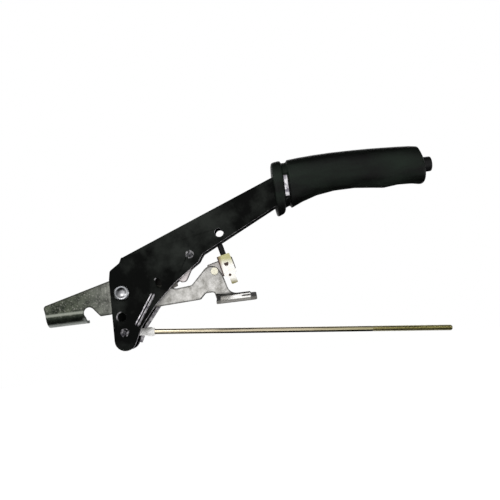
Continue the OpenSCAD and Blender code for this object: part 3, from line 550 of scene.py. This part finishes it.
lean = math.radians(13.5)
switch_axis = Vector((-math.sin(lean), 0.0, math.cos(lean)))
switch_mouth = Vector((0.1383, -0.0023, 0.0407))
end_room = 0.0004
low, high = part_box("switch_spring")
spring_foot = switch_mouth + switch_axis * ((low.z + end_room - switch_mouth.z) / switch_axis.z)
spring_length = (high.z - low.z - 2 * end_room) / switch_axis.z
plunger_spring = coiled(
    "plunger_coil", spring_foot, switch_axis, spring_length, ring=0.0018, wire_radius=0.00025, turns=6,
)
plunger_spring.data.materials.append(bright)
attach(plunger_spring, "bracket")
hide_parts("switch_spring")


# Switch plunger: a black moulded pin that rides on the lever's lower wall.
# Its tip is rounded and it slides in the body.

# Moulded nylon: black and a little glossy, with 5 mm clouds and a fine 0.5 mm grain.
nylon, tree = started("black moulded nylon")
place = wire(tree, "TexCoord").outputs["Object"]
cloud = wire(tree, "TexNoise", {"Vector": place, "Scale": 1 / 0.005, "Detail": 4.0})
film = wire(tree, "Mix", {0: cloud, 6: linear("#080809"), 7: linear("#141415")}, data_type="RGBA")
grit = wire(tree, "TexNoise", {"Vector": place, "Scale": 1 / 0.0005, "Detail": 2.0})
dull = wire(tree, "MapRange", {0: grit, 3: 0.34, 4: 0.5})
grain = wire(tree, "Bump", {"Height": grit, "Strength": 0.15, "Distance": 0.00003})
skin = wire(
    tree, "BsdfPrincipled",
    {"Base Color": film, "Roughness": dull, "Normal": grain, "Specular IOR Level": 0.15},
)
wire(tree, "OutputMaterial", {"Surface": skin})

plunger = dressed("switch_plunger", "switch_plunger_pin", nylon, edge=0.0006, steps=3)
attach(plunger, "plunger")
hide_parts("switch_plunger")


# Lever halves: two pressed 2 mm steel halves that meet at their lips, with a stiffening bead on
# the near one. They are painted gloss black; under the grip the steel is bare and scuffed.

# Black stoving enamel: a thin, glossy coat with slight orange peel and grey smudges, more of them round
# the middle of the arm. Painted highlights and sheen in light bare metal lie on the bead's flanks, the
# lip, the rolled lower edges, the far half's brim, the tool hole's left rim and the end of the slot.
enamel, tree = started("black stoving enamel on steel")
place = wire(tree, "TexCoord").outputs["Object"]
x, y, z = wire(tree, "SeparateXYZ", {0: place}).outputs
smudge = wire(tree, "TexNoise", {"Vector": place, "Scale": 1 / 0.022, "Detail": 6.0, "Roughness": 0.6})
smudge_middle = (0.106, -0.008, 0.065)
smudge_patch = wire(tree, "VectorMath", {0: place, 1: smudge_middle}, operation="DISTANCE")
smudge_patch = wire(tree, "MapRange", {0: smudge_patch, 1: 0.065, 2: 0.010, 4: 0.22})
smudge_patch = wire(tree, "Math", {0: smudge, 1: smudge_patch}, operation="ADD")
smudge_share = wire(tree, "MapRange", {0: smudge_patch, 1: 0.49, 2: 0.80})
film = wire(tree, "Mix", {0: smudge_share, 6: linear("#040504"), 7: linear("#282B28")}, data_type="RGBA")
dull = wire(tree, "MapRange", {0: smudge, 1: 0.3, 2: 0.7, 3: 0.22, 4: 0.42})
peel = wire(tree, "TexNoise", {"Vector": place, "Scale": 1 / 0.0018, "Detail": 1.0})
ripple = wire(tree, "Bump", {"Height": peel, "Strength": 0.12, "Distance": 0.00004})
coat = wire(
    tree, "BsdfPrincipled",
    {"Base Color": film, "Roughness": dull, "Normal": ripple, "Specular IOR Level": 0.04},
)
scuff = wire(tree, "TexNoise", {"Vector": place, "Scale": 1 / 0.0035, "Detail": 4.0})
scuff_share = wire(tree, "MapRange", {0: scuff, 1: 0.38, 2: 0.62})
bare_film = wire(
    tree, "Mix", {0: scuff_share, 6: linear("#7E7A84"), 7: linear("#F2EFF2")}, data_type="RGBA",
)
bare = wire(tree, "BsdfPrincipled", {"Base Color": bare_film, "Metallic": 0.6, "Roughness": 0.4})
under_grip = wire(tree, "MapRange", {0: x, 1: 0.2015, 2: 0.2025})
for painted, scraped in ((0.0907, 0.0917), (0.1120, 0.1110)):
    share = wire(tree, "MapRange", {0: z, 1: painted, 2: scraped})
    under_grip = wire(tree, "Math", {0: under_grip, 1: share}, operation="MULTIPLY")
# Painted highlights: two light lines of bare metal along the bead's flanks.
bead_from = pivot + Vector((0.0296, 0.0, -0.0054))
bead_to = pivot + Vector((0.0120, 0.0, -0.0316))
bead_run = (bead_to - bead_from).normalized()
bead_side = Vector((bead_run.z, 0.0, -bead_run.x))
bead_place = wire(tree, "VectorMath", {0: place, 1: bead_from}, operation="SUBTRACT")
bead_across = wire(tree, "VectorMath", {0: bead_place, 1: bead_side}, operation="DOT_PRODUCT")
bead_along = wire(tree, "VectorMath", {0: bead_place, 1: bead_run}, operation="DOT_PRODUCT")
bead_painted_highlight = wire(tree, "Math", {0: bead_across}, operation="ABSOLUTE")
bead_painted_highlight = wire(tree, "Math", {0: bead_painted_highlight, 1: 0.0015}, operation="SUBTRACT")
bead_painted_highlight = wire(tree, "Math", {0: bead_painted_highlight}, operation="ABSOLUTE")
bead_painted_highlight = wire(tree, "MapRange", {0: bead_painted_highlight, 1: 0.00085, 2: 0.0006})
bead_raised = wire(tree, "MapRange", {0: y, 1: -0.00803, 2: -0.0081})
bead_start = wire(tree, "MapRange", {0: bead_along, 1: -0.0015, 2: 0.0015})
bead_flank = wire(tree, "MapRange", {0: bead_across, 1: -0.0005, 2: 0.0005, 3: 0.62, 4: 0.95})
for share in (bead_raised, bead_start, bead_flank):
    bead_painted_highlight = wire(tree, "Math", {0: bead_painted_highlight, 1: share}, operation="MULTIPLY")
facing = wire(tree, "TexCoord").outputs["Normal"]
lip_facing = wire(tree, "VectorMath", {0: facing, 1: (0.78, 0.0, -0.62)}, operation="DOT_PRODUCT")
near_facing = wire(tree, "VectorMath", {0: facing, 1: (0.0, -1.0, 0.0)}, operation="DOT_PRODUCT")
# Painted highlight: the lip that faces down and right is painted light metal.
lip_painted_highlight = wire(tree, "MapRange", {0: lip_facing, 1: 0.80, 2: 0.92, 4: 0.75})
lip_low = wire(tree, "MapRange", {0: z, 1: 0.046, 2: 0.036})
lip_high = wire(tree, "MapRange", {0: z, 1: -0.004, 2: 0.002, 3: 0.3})
for share in (lip_low, lip_high):
    lip_painted_highlight = wire(tree, "Math", {0: lip_painted_highlight, 1: share}, operation="MULTIPLY")
# Painted sheen: the far half's brim, low on the lobe and facing the near side, is painted light metal.
brim_painted_sheen = wire(tree, "MapRange", {0: y, 1: 0.0150, 2: 0.0155, 4: 0.7})
brim_low = wire(tree, "MapRange", {0: z, 1: 0.008, 2: 0.004})
brim_facing = wire(tree, "MapRange", {0: near_facing, 1: 0.3, 2: 0.7})
for share in (brim_low, brim_facing):
    brim_painted_sheen = wire(tree, "Math", {0: brim_painted_sheen, 1: share}, operation="MULTIPLY")
for corner, outward in (
    ((0.0672, 0.0, 0.0001), (0.775, 0.0, -0.632)), ((0.0512, 0.0, -0.0195), (0.903, 0.0, -0.430)),
    ((0.0672, 0.017, 0.0001), (0.0, -1.0, 0.0)),
):
    past = wire(tree, "VectorMath", {0: place, 1: corner}, operation="SUBTRACT")
    past = wire(tree, "VectorMath", {0: past, 1: outward}, operation="DOT_PRODUCT")
    past = wire(tree, "MapRange", {0: past, 1: -0.0012, 2: 0.0})
    brim_painted_sheen = wire(tree, "Math", {0: brim_painted_sheen, 1: past}, operation="MULTIPLY")
# Painted highlight: a light crescent on the tool hole's upper left rim.
tool_hole = (0.0330, -0.0080, -0.0079)
hole_place = wire(tree, "VectorMath", {0: place, 1: tool_hole}, operation="SUBTRACT")
hole_off = wire(tree, "VectorMath", {0: hole_place}, operation="LENGTH")
hole_side = wire(tree, "VectorMath", {0: hole_place, 1: (-0.9, 0.0, 0.44)}, operation="DOT_PRODUCT")
hole_painted_highlight = wire(tree, "MapRange", {0: hole_off, 1: 0.0058, 2: 0.0053, 4: 0.38})
hole_left = wire(tree, "MapRange", {0: hole_side, 1: 0.0018, 2: 0.0040})
hole_painted_highlight = wire(tree, "Math", {0: hole_painted_highlight, 1: hole_left}, operation="MULTIPLY")
# Painted highlight: a light spot at the upper left end of the slot.
slot_end = (0.0696, -0.0080, 0.0247)
slot_off = wire(tree, "VectorMath", {0: place, 1: slot_end}, operation="DISTANCE")
slot_painted_highlight = wire(tree, "MapRange", {0: slot_off, 1: 0.0016, 2: 0.0008, 4: 0.32})
# Painted highlight: a light line along the rounded lower edges, fading towards the grip, kept off the
# tool hole and the slot.
rim_painted_highlight = wire(tree, "MapRange", {0: x, 1: 0.200, 2: 0.125, 3: 0.2, 4: 0.8})
for amount, painted, scraped in (
    (lip_facing, 0.20, 0.40), (near_facing, 0.12, 0.30), (hole_off, 0.0065, 0.0085),
    (slot_off, 0.010, 0.013),
):
    share = wire(tree, "MapRange", {0: amount, 1: painted, 2: scraped})
    rim_painted_highlight = wire(tree, "Math", {0: rim_painted_highlight, 1: share}, operation="MULTIPLY")
# Bare metal where the enamel is really worn away under the grip, and where highlights and sheen are
# painted.
wear_and_painted_highlight = under_grip
for share in (bead_painted_highlight, lip_painted_highlight, rim_painted_highlight, brim_painted_sheen, hole_painted_highlight, slot_painted_highlight):
    wear_and_painted_highlight = wire(tree, "Math", {0: wear_and_painted_highlight, 1: share}, operation="MAXIMUM")
both = wire(tree, "MixShader", {0: wear_and_painted_highlight, 1: coat, 2: bare})
wire(tree, "OutputMaterial", {"Surface": both})

bead_reach = 0.0036
bead_stop = 0.0352
bead_back = -0.0055


def by_the_bead(point):
    """Whether a point lies on the bead or within a millimetre of its foot"""
    along = (point - bead_from).dot(bead_run)
    across = abs((point - bead_from).dot(bead_side))
    return -bead_reach < along < bead_stop and across < bead_reach and point.y < bead_back


for node, name in (("lever_near_half", "near_lever_stamping"), ("lever_far_half", "far_lever_stamping")):
    half = dressed(node, name, enamel, edge=0.0004, steps=3, full=True, merged=False, spared=by_the_bead)
    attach(half, "lever")
    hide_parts(node)


# Pawl: a hardened hooked plate between the lever's plates, on a rivet with two collars.
# It is blanked from steel plate, barrel plated, and drops into the sector's teeth.

# Barrel zinc: pale and faintly pink with a satin gleam, with a painted dark reflection along the blanked
# edges.
barrel_zinc, tree = started("barrel zinc plated steel")
place = wire(tree, "TexCoord").outputs["Object"]
cloud = wire(tree, "TexNoise", {"Vector": place, "Scale": 1 / 0.004, "Detail": 5.0})
film = wire(tree, "Mix", {0: cloud, 6: linear("#DCD0CF"), 7: linear("#FAF4F4")}, data_type="RGBA")
# Painted dark reflection along the blanked edges.
blanked_edge_painted_dark = wire(tree, "MapRange", {0: edge_turn(tree, 0.0024), 1: 0.994, 2: 0.965})
film = wire(tree, "Mix", {0: blanked_edge_painted_dark, 6: film, 7: linear("#2A2827")}, data_type="RGBA")
dull = wire(tree, "MapRange", {0: cloud, 3: 0.3, 4: 0.5})
grain = wire(tree, "Bump", {"Height": cloud, "Strength": 0.15, "Distance": 0.00004})
skin = wire(
    tree, "BsdfPrincipled",
    {"Base Color": film, "Metallic": 0.9, "Roughness": dull, "Normal": grain},
)
wire(tree, "OutputMaterial", {"Surface": skin})

pawl = dressed("pawl", "ratchet_pawl", barrel_zinc, edge=0.0003, full=True)
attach(pawl, "pawl")
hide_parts("pawl")

# The peened heads were painted with the lever and have rubbed through to grey steel in patches
# two millimetres across.
rubbed = enamel.copy()
rubbed.name = "enamel rubbed off a rivet"
tree = rubbed.node_tree
place = wire(tree, "TexCoord").outputs["Object"]
patch = wire(tree, "TexNoise", {"Vector": place, "Scale": 1 / 0.0022, "Detail": 3.0})
patch_share = wire(tree, "MapRange", {0: patch, 1: 0.42, 2: 0.66, 4: 0.36})
tree.links.new(patch_share.outputs[0], tree.nodes[both.name].inputs[0])

pawl_rivet = dressed("pawl_rivet", "peened_pawl_rivet", rubbed, edge=0.0004, steps=3)
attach(pawl_rivet, "lever")
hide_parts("pawl_rivet")

pawl_collars = dressed("pawl_spacers", "pawl_collars", steel, edge=0.0003)
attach(pawl_collars, "lever")
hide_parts("pawl_spacers")


# Release rod: a 4 mm bent wire inside the lever, from the button to the pawl, with a coil
# spring behind the button and a plate across the tang that guides it.
release_rod = dressed("release_rod", "bent_release_rod", bright)
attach(release_rod, "button")
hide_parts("release_rod")

low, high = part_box("release_spring")
return_foot = Vector((low.x, (low.y + high.y) / 2, (low.z + high.z) / 2))
return_wire = 0.0006
return_spring = coiled(
    "return_coil", return_foot, (1.0, 0.0, 0.0), high.x - low.x,
    ring=(high.y - low.y) / 2 - return_wire, wire_radius=return_wire, turns=10,
)
return_spring.data.materials.append(bright)
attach(return_spring, "lever")
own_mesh(return_spring)
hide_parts("release_spring")

rod_plate = dressed("rod_guide", "rod_guide_plate", steel, edge=0.0002)
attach(rod_plate, "lever")
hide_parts("rod_guide")


# Push button: a black moulded plunger with a softly domed end, in a sleeve inside the grip.
# It is drawn up as the mould makes it: a straight barrel, a rounded shoulder, a low crown.
turned_angle = math.radians(35.0)


def lathed(name, foot, axis, profile, sides=64):
    """A round piece drawn out ring by ring: each step is (length from the foot, radius)"""
    bpy.ops.object.select_all(action="DESELECT")
    bpy.ops.mesh.primitive_circle_add(
        vertices=sides, radius=profile[0][1], fill_type="NGON", location=(0.0, 0.0, profile[0][0]),
    )
    piece = bpy.context.object
    piece.name = name
    bpy.ops.object.transform_apply()
    bpy.ops.object.mode_set(mode="EDIT")
    bpy.ops.mesh.select_mode(type="FACE")
    bpy.ops.mesh.select_all(action="SELECT")
    for (before, old), (after, new) in zip(profile, profile[1:]):
        bpy.ops.mesh.extrude_region_move(TRANSFORM_OT_translate={"value": (0.0, 0.0, after - before)})
        bpy.ops.transform.resize(value=(new / old, new / old, 1.0), center_override=(0.0, 0.0, after))
    bpy.ops.mesh.select_all(action="SELECT")
    bpy.ops.mesh.normals_make_consistent(inside=False)
    bpy.ops.object.mode_set(mode="OBJECT")
    stood(piece, foot, axis)
    bpy.ops.object.shade_smooth_by_angle(angle=turned_angle)
    return piece


low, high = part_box("release_button")
button_foot = Vector((low.x, (low.y + high.y) / 2, (low.z + high.z) / 2))
button_long = high.x - low.x
button = lathed(
    "push_button", button_foot, (1.0, 0.0, 0.0),
    [
        (0.0, 0.0070), (0.0004, 0.0075), (button_long - 0.0022, 0.0075), (button_long - 0.0014, 0.0073),
        (button_long - 0.0008, 0.0068), (button_long - 0.0004, 0.0059), (button_long - 0.00015, 0.0042),
        (button_long, 0.0015),
    ],
)
button.data.materials.append(nylon)
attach(button, "button")
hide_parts("release_button")

sleeve = dressed("button_guide", "button_sleeve", nylon, edge=0.0003)
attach(sleeve, "lever")
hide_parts("button_guide")


# Grip: one soft black moulding pushed over the tang, with a flared collar, a narrow neck with a
# window on each side that shows the bare arm, and a long palm swell that ends round the button.
# Each row is distance from the pivot, underside, top and half width, in millimetres.
grip_rows = [
    (160.0, 64.0, 109.0, 15.5), (161.0, 58.5, 111.5, 18.5), (162.5, 57.3, 112.0, 19.1),
    (168.0, 59.5, 112.8, 19.1), (170.0, 62.0, 112.6, 18.7), (170.2, 65.3, 110.3, 15.2),
    (175.8, 67.3, 110.5, 15.2), (176.0, 64.3, 112.8, 17.1), (188.0, 69.5, 113.8, 17.5),
    (203.0, 74.2, 114.6, 17.5), (221.0, 76.8, 115.0, 17.3), (242.0, 77.0, 114.8, 17.0),
    (260.0, 75.0, 114.3, 17.0), (271.0, 73.6, 113.8, 17.1), (286.0, 75.1, 113.0, 16.9),
    (300.0, 74.5, 112.0, 17.0), (307.8, 73.0, 110.8, 16.8), (309.2, 73.0, 108.0, 16.3),
    (310.6, 73.5, 104.0, 15.5), (311.5, 74.6, 101.0, 14.3), (312.0, 76.5, 99.0, 12.9),
]
grip_origin = pivot + Vector((0.0, 0.005, 0.0))
millimetre = 0.001
squareness = 0.84
bpy.ops.object.select_all(action="DESELECT")
bpy.ops.mesh.primitive_circle_add(
    vertices=72, radius=1.0, fill_type="NGON", rotation=(0.0, math.pi / 2, 0.0),
)
grip = bpy.context.object
grip.name = "moulded_grip"
bpy.ops.object.transform_apply()
start, under, top, half = grip_rows[0]
for point in grip.data.vertices:
    squared_y = math.copysign(abs(point.co.y) ** squareness, point.co.y)
    squared_z = math.copysign(abs(point.co.z) ** squareness, point.co.z)
    point.co.x = grip_origin.x + start * millimetre
    point.co.y = grip_origin.y + squared_y * half * millimetre
    point.co.z = grip_origin.z + ((under + top) / 2 + squared_z * (top - under) / 2) * millimetre
bpy.ops.object.mode_set(mode="EDIT")
bpy.ops.mesh.select_mode(type="FACE")
bpy.ops.mesh.select_all(action="SELECT")
for old, new in zip(grip_rows, grip_rows[1:]):
    rise = ((new[1] + new[2]) - (old[1] + old[2])) / 2
    bpy.ops.mesh.extrude_region_move(
        TRANSFORM_OT_translate={"value": ((new[0] - old[0]) * millimetre, 0.0, rise * millimetre)},
    )
    centre = grip_origin + Vector((new[0], 0.0, (new[1] + new[2]) / 2)) * millimetre
    bpy.ops.transform.resize(
        value=(1.0, new[3] / old[3], (new[2] - new[1]) / (old[2] - old[1])), center_override=centre,
    )
bpy.ops.mesh.select_all(action="SELECT")
bpy.ops.mesh.normals_make_consistent(inside=False)
bpy.ops.object.mode_set(mode="OBJECT")

# The neck's two windows and the bore for the button's sleeve are cut, and the skin is then remeshed and
# relaxed so that every corner comes out soft.
cuts = []
window_size = (0.006, 0.0100, 0.024)
for side in (-1.0, 1.0):
    window_middle = grip_origin + Vector((0.173, side * 0.0179, 0.086))
    bpy.ops.mesh.primitive_cube_add(size=1.0, location=window_middle, scale=window_size)
    cuts.append(bpy.context.object)
bpy.ops.mesh.primitive_cylinder_add(
    vertices=64, radius=0.0094, depth=0.030, location=grip_origin + Vector((0.3010, 0.0, 0.092)),
    rotation=(0.0, math.pi / 2, 0.0),
)
cuts.append(bpy.context.object)
for cut in cuts:
    bpy.ops.object.select_all(action="DESELECT")
    bpy.context.view_layer.objects.active = grip
    grip.select_set(True)
    opening = grip.modifiers.new("opening", "BOOLEAN")
    opening.operation = "DIFFERENCE"
    opening.solver = "EXACT"
    opening.object = cut
    bpy.ops.object.modifier_apply(modifier=opening.name)
    bpy.data.objects.remove(cut)
moulding = grip.modifiers.new("moulded skin", "REMESH")
moulding.mode = "VOXEL"
moulding.voxel_size = 0.0008
bpy.ops.object.modifier_apply(modifier=moulding.name)
relaxed = grip.modifiers.new("soft corners", "SMOOTH")
relaxed.factor = 0.5
relaxed.iterations = 6
bpy.ops.object.modifier_apply(modifier=relaxed.name)
bpy.ops.object.shade_smooth()

# Soft vinyl, moulded in a lightly blasted tool: near black, matt, with a fine 0.6 mm grain that is
# drawn a little coarser than life so that it shows, and a painted sheen: a paler band a little above its
# middle, with painted shade below it and towards the top.
vinyl, tree = started("soft black vinyl")
place = wire(tree, "TexCoord").outputs["Object"]
rub_place = wire(tree, "Mapping", {0: place, 3: (18.0, 60.0, 60.0)})
rub = wire(tree, "TexNoise", {"Vector": rub_place, "Scale": 1.0, "Detail": 6.0, "Roughness": 0.6})
height = wire(tree, "SeparateXYZ", {0: place}).outputs["Z"]
# Painted sheen and shade: lighter in a band by height, darker below it and towards the top.
lower_painted_shade = wire(tree, "MapRange", {0: height, 1: 0.098, 2: 0.110, 3: -0.16, 4: 0.04})
upper_painted_shade = wire(tree, "MapRange", {0: height, 1: 0.112, 2: 0.124, 4: -0.2})
painted_sheen_band = wire(tree, "Math", {0: lower_painted_shade, 1: upper_painted_shade}, operation="ADD")
painted_sheen_band = wire(tree, "Math", {0: rub, 1: painted_sheen_band}, operation="ADD")
rub_and_sheen_share = wire(tree, "MapRange", {0: painted_sheen_band, 1: 0.30, 2: 0.66})
film = wire(tree, "Mix", {0: rub_and_sheen_share, 6: linear("#050605"), 7: linear("#18211A")}, data_type="RGBA")
grit = wire(tree, "TexNoise", {"Vector": place, "Scale": 1 / 0.0006, "Detail": 3.0})
dull = wire(tree, "MapRange", {0: rub, 1: 0.3, 2: 0.7, 3: 0.44, 4: 0.62})
grain = wire(tree, "Bump", {"Height": grit, "Strength": 0.3, "Distance": 0.00006})
skin = wire(
    tree, "BsdfPrincipled",
    {"Base Color": film, "Roughness": dull, "Normal": grain, "Specular IOR Level": 0.13},
)
wire(tree, "OutputMaterial", {"Surface": skin})
grip.data.materials.clear()
grip.data.materials.append(vinyl)
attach(grip, "lever")
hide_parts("grip")


# Clevis pin: a headed pin through the lever's lobe, with two collars that centre the rod's eye.
# Its near end is peened over and painted with the lever.
clevis = dressed("clevis_pin", "peened_clevis_pin", rubbed, edge=0.0005, steps=3)
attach(clevis, "lever")
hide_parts("clevis_pin")

clevis_collars = dressed("clevis_spacers", "clevis_collars", steel, edge=0.0003)
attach(clevis_collars, "lever")
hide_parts("clevis_spacers")


# Rod eye: a forged eye with a barrel crimped on to the pull rod, white zinc plated.
# It turns on the clevis pin, between the two collars.

# White zinc: a nearly white, chalky plate with faint 5 mm clouds and soft reflections.
white_zinc, tree = started("white zinc plated steel")
place = wire(tree, "TexCoord").outputs["Object"]
cloud = wire(tree, "TexNoise", {"Vector": place, "Scale": 1 / 0.005, "Detail": 4.0})
film = wire(tree, "Mix", {0: cloud, 6: linear("#F0EFEC"), 7: linear("#FDFCFA")}, data_type="RGBA")
dull = wire(tree, "MapRange", {0: cloud, 3: 0.28, 4: 0.45})
grain = wire(tree, "Bump", {"Height": cloud, "Strength": 0.15, "Distance": 0.00005})
skin = wire(
    tree, "BsdfPrincipled",
    {"Base Color": film, "Metallic": 0.1, "Roughness": dull, "Normal": grain},
)
wire(tree, "OutputMaterial", {"Surface": skin})

slope = math.radians(6.2)
rod_axis = Vector((math.cos(slope), 0.0, -math.sin(slope)))
rod_eye_centre = Vector((0.0341, 0.009, -0.0232))
eye = dressed("rod_eye", "crimped_rod_eye", white_zinc, edge=0.0004, steps=3)

# The barrel is swaged egg shaped: it is cut into rings, and each ring is drawn to its own radius.
# Each step is (length from the eye's centre, radius).
egg = (
    (0.0130, 0.0036), (0.0170, 0.0036), (0.0186, 0.0038), (0.0200, 0.0042), (0.0215, 0.0045),
    (0.0232, 0.0047), (0.0246, 0.0046), (0.0256, 0.0043), (0.0265, 0.0037),
)
bpy.ops.object.mode_set(mode="EDIT")
for along, _ in egg:
    bpy.ops.mesh.select_all(action="SELECT")
    bpy.ops.mesh.bisect(plane_co=rod_eye_centre + rod_axis * along, plane_no=rod_axis)
bpy.ops.mesh.customdata_custom_splitnormals_clear()
bpy.ops.object.mode_set(mode="OBJECT")
near_enough = 0.000002
bore_reach = 0.0030
for point in eye.data.vertices:
    along = (point.co - rod_eye_centre).dot(rod_axis)
    middle = rod_eye_centre + rod_axis * along
    outward = point.co - middle
    for (before, small), (after, large) in zip(egg, egg[1:]):
        if before - near_enough < along < after + near_enough and outward.length > bore_reach:
            radius = small + (large - small) * (along - before) / (after - before)
            point.co = middle + outward.normalized() * radius
bpy.ops.object.shade_smooth_by_angle(angle=smooth_angle)
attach(eye, "pull_rod")
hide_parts("rod_eye")


# Pull rod: a 5.4 mm drawn steel rod with an M6 thread rolled on its free end, yellow passivated.
# The thread is a real ridge wound round the rod, one millimetre from crest to crest.
rod_radius = 0.0027
root_radius = 0.00248
rod = lathed(
    "threaded_pull_rod", rod_eye_centre, rod_axis,
    [
        (0.0090, 0.0025), (0.0092, rod_radius), (0.2430, rod_radius), (0.2438, root_radius),
        (0.3225, root_radius), (0.3235, 0.0019),
    ],
    sides=40,
)
pitch = 0.0010
thread_start = 0.2443
thread_turns = 78
flank_radius, crest_radius, buried_radius = 0.0024, 0.0029, 0.0021
bpy.ops.object.select_all(action="DESELECT")
bpy.ops.mesh.primitive_circle_add(
    vertices=4, radius=pitch / 2, fill_type="NOTHING", rotation=(math.pi / 2, 0.0, 0.0),
)
ridge = bpy.context.object
bpy.ops.object.transform_apply()
for point in ridge.data.vertices:
    on_flank = abs(point.co.z) > pitch / 4
    on_crest = point.co.x > pitch / 4
    point.co.x = flank_radius if on_flank else (crest_radius if on_crest else buried_radius)
rolling = ridge.modifiers.new("thread rolling", "SCREW")
rolling.angle = 2 * math.pi
rolling.iterations = thread_turns
rolling.screw_offset = pitch
rolling.steps = steps_per_turn
rolling.render_steps = steps_per_turn
bpy.ops.object.modifier_apply(modifier=rolling.name)
capped(weld=0.000001)
stood(ridge, rod_eye_centre + rod_axis * thread_start, rod_axis)
bpy.ops.object.shade_smooth_by_angle(angle=turned_angle)
rod.select_set(True)
bpy.context.view_layer.objects.active = rod
bpy.ops.object.join()

# Yellow passivate on drawn steel: a straw metal, darker and more olive towards the thread, with faint
# marks drawn along its length and painted shade, dark brown, along its upper and lower sides.
brass_film, tree = started("yellow passivated rod")
place = wire(tree, "TexCoord").outputs["Object"]
along_lever = wire(tree, "SeparateXYZ", {0: place}).outputs["X"]
drawn_place = wire(tree, "Mapping", {0: place, 2: (0.0, slope, 0.0), 3: (60.0, 700.0, 700.0)})
drawn = wire(tree, "TexNoise", {"Vector": drawn_place, "Scale": 1.0, "Detail": 4.0})
darker = wire(tree, "MapRange", {0: along_lever, 1: 0.16, 2: 0.33}, interpolation_type="SMOOTHSTEP")
film = wire(tree, "Mix", {0: drawn, 6: linear("#A6997C"), 7: linear("#E4DAC2")}, data_type="RGBA")
olive = wire(tree, "Mix", {0: drawn, 6: linear("#706C46"), 7: linear("#AAA576")}, data_type="RGBA")
film = wire(tree, "Mix", {0: darker, 6: film, 7: olive}, data_type="RGBA")
facing = wire(tree, "TexCoord").outputs["Normal"]
rod_up = (math.sin(slope), 0.0, math.cos(slope))
# Painted shade: the sides of the rod that face up and down are darkened brown.
painted_side_shade = wire(tree, "VectorMath", {0: facing, 1: rod_up}, operation="DOT_PRODUCT")
painted_side_shade = wire(tree, "Math", {0: painted_side_shade}, operation="ABSOLUTE")
painted_side_shade = wire(tree, "MapRange", {0: painted_side_shade, 1: 0.60, 2: 0.90, 4: 0.7})
film = wire(tree, "Mix", {0: painted_side_shade, 6: film, 7: linear("#3A2F1E")}, data_type="RGBA")
dull = wire(tree, "MapRange", {0: drawn, 3: 0.14, 4: 0.26})
grain = wire(tree, "Bump", {"Height": drawn, "Strength": 0.1, "Distance": 0.00004})
skin = wire(
    tree, "BsdfPrincipled",
    {"Base Color": film, "Metallic": 1.0, "Roughness": dull, "Normal": grain},
)
wire(tree, "OutputMaterial", {"Surface": skin})
rod.data.materials.clear()
rod.data.materials.append(brass_film)
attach(rod, "pull_rod")
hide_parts("pull_rod")


low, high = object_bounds()
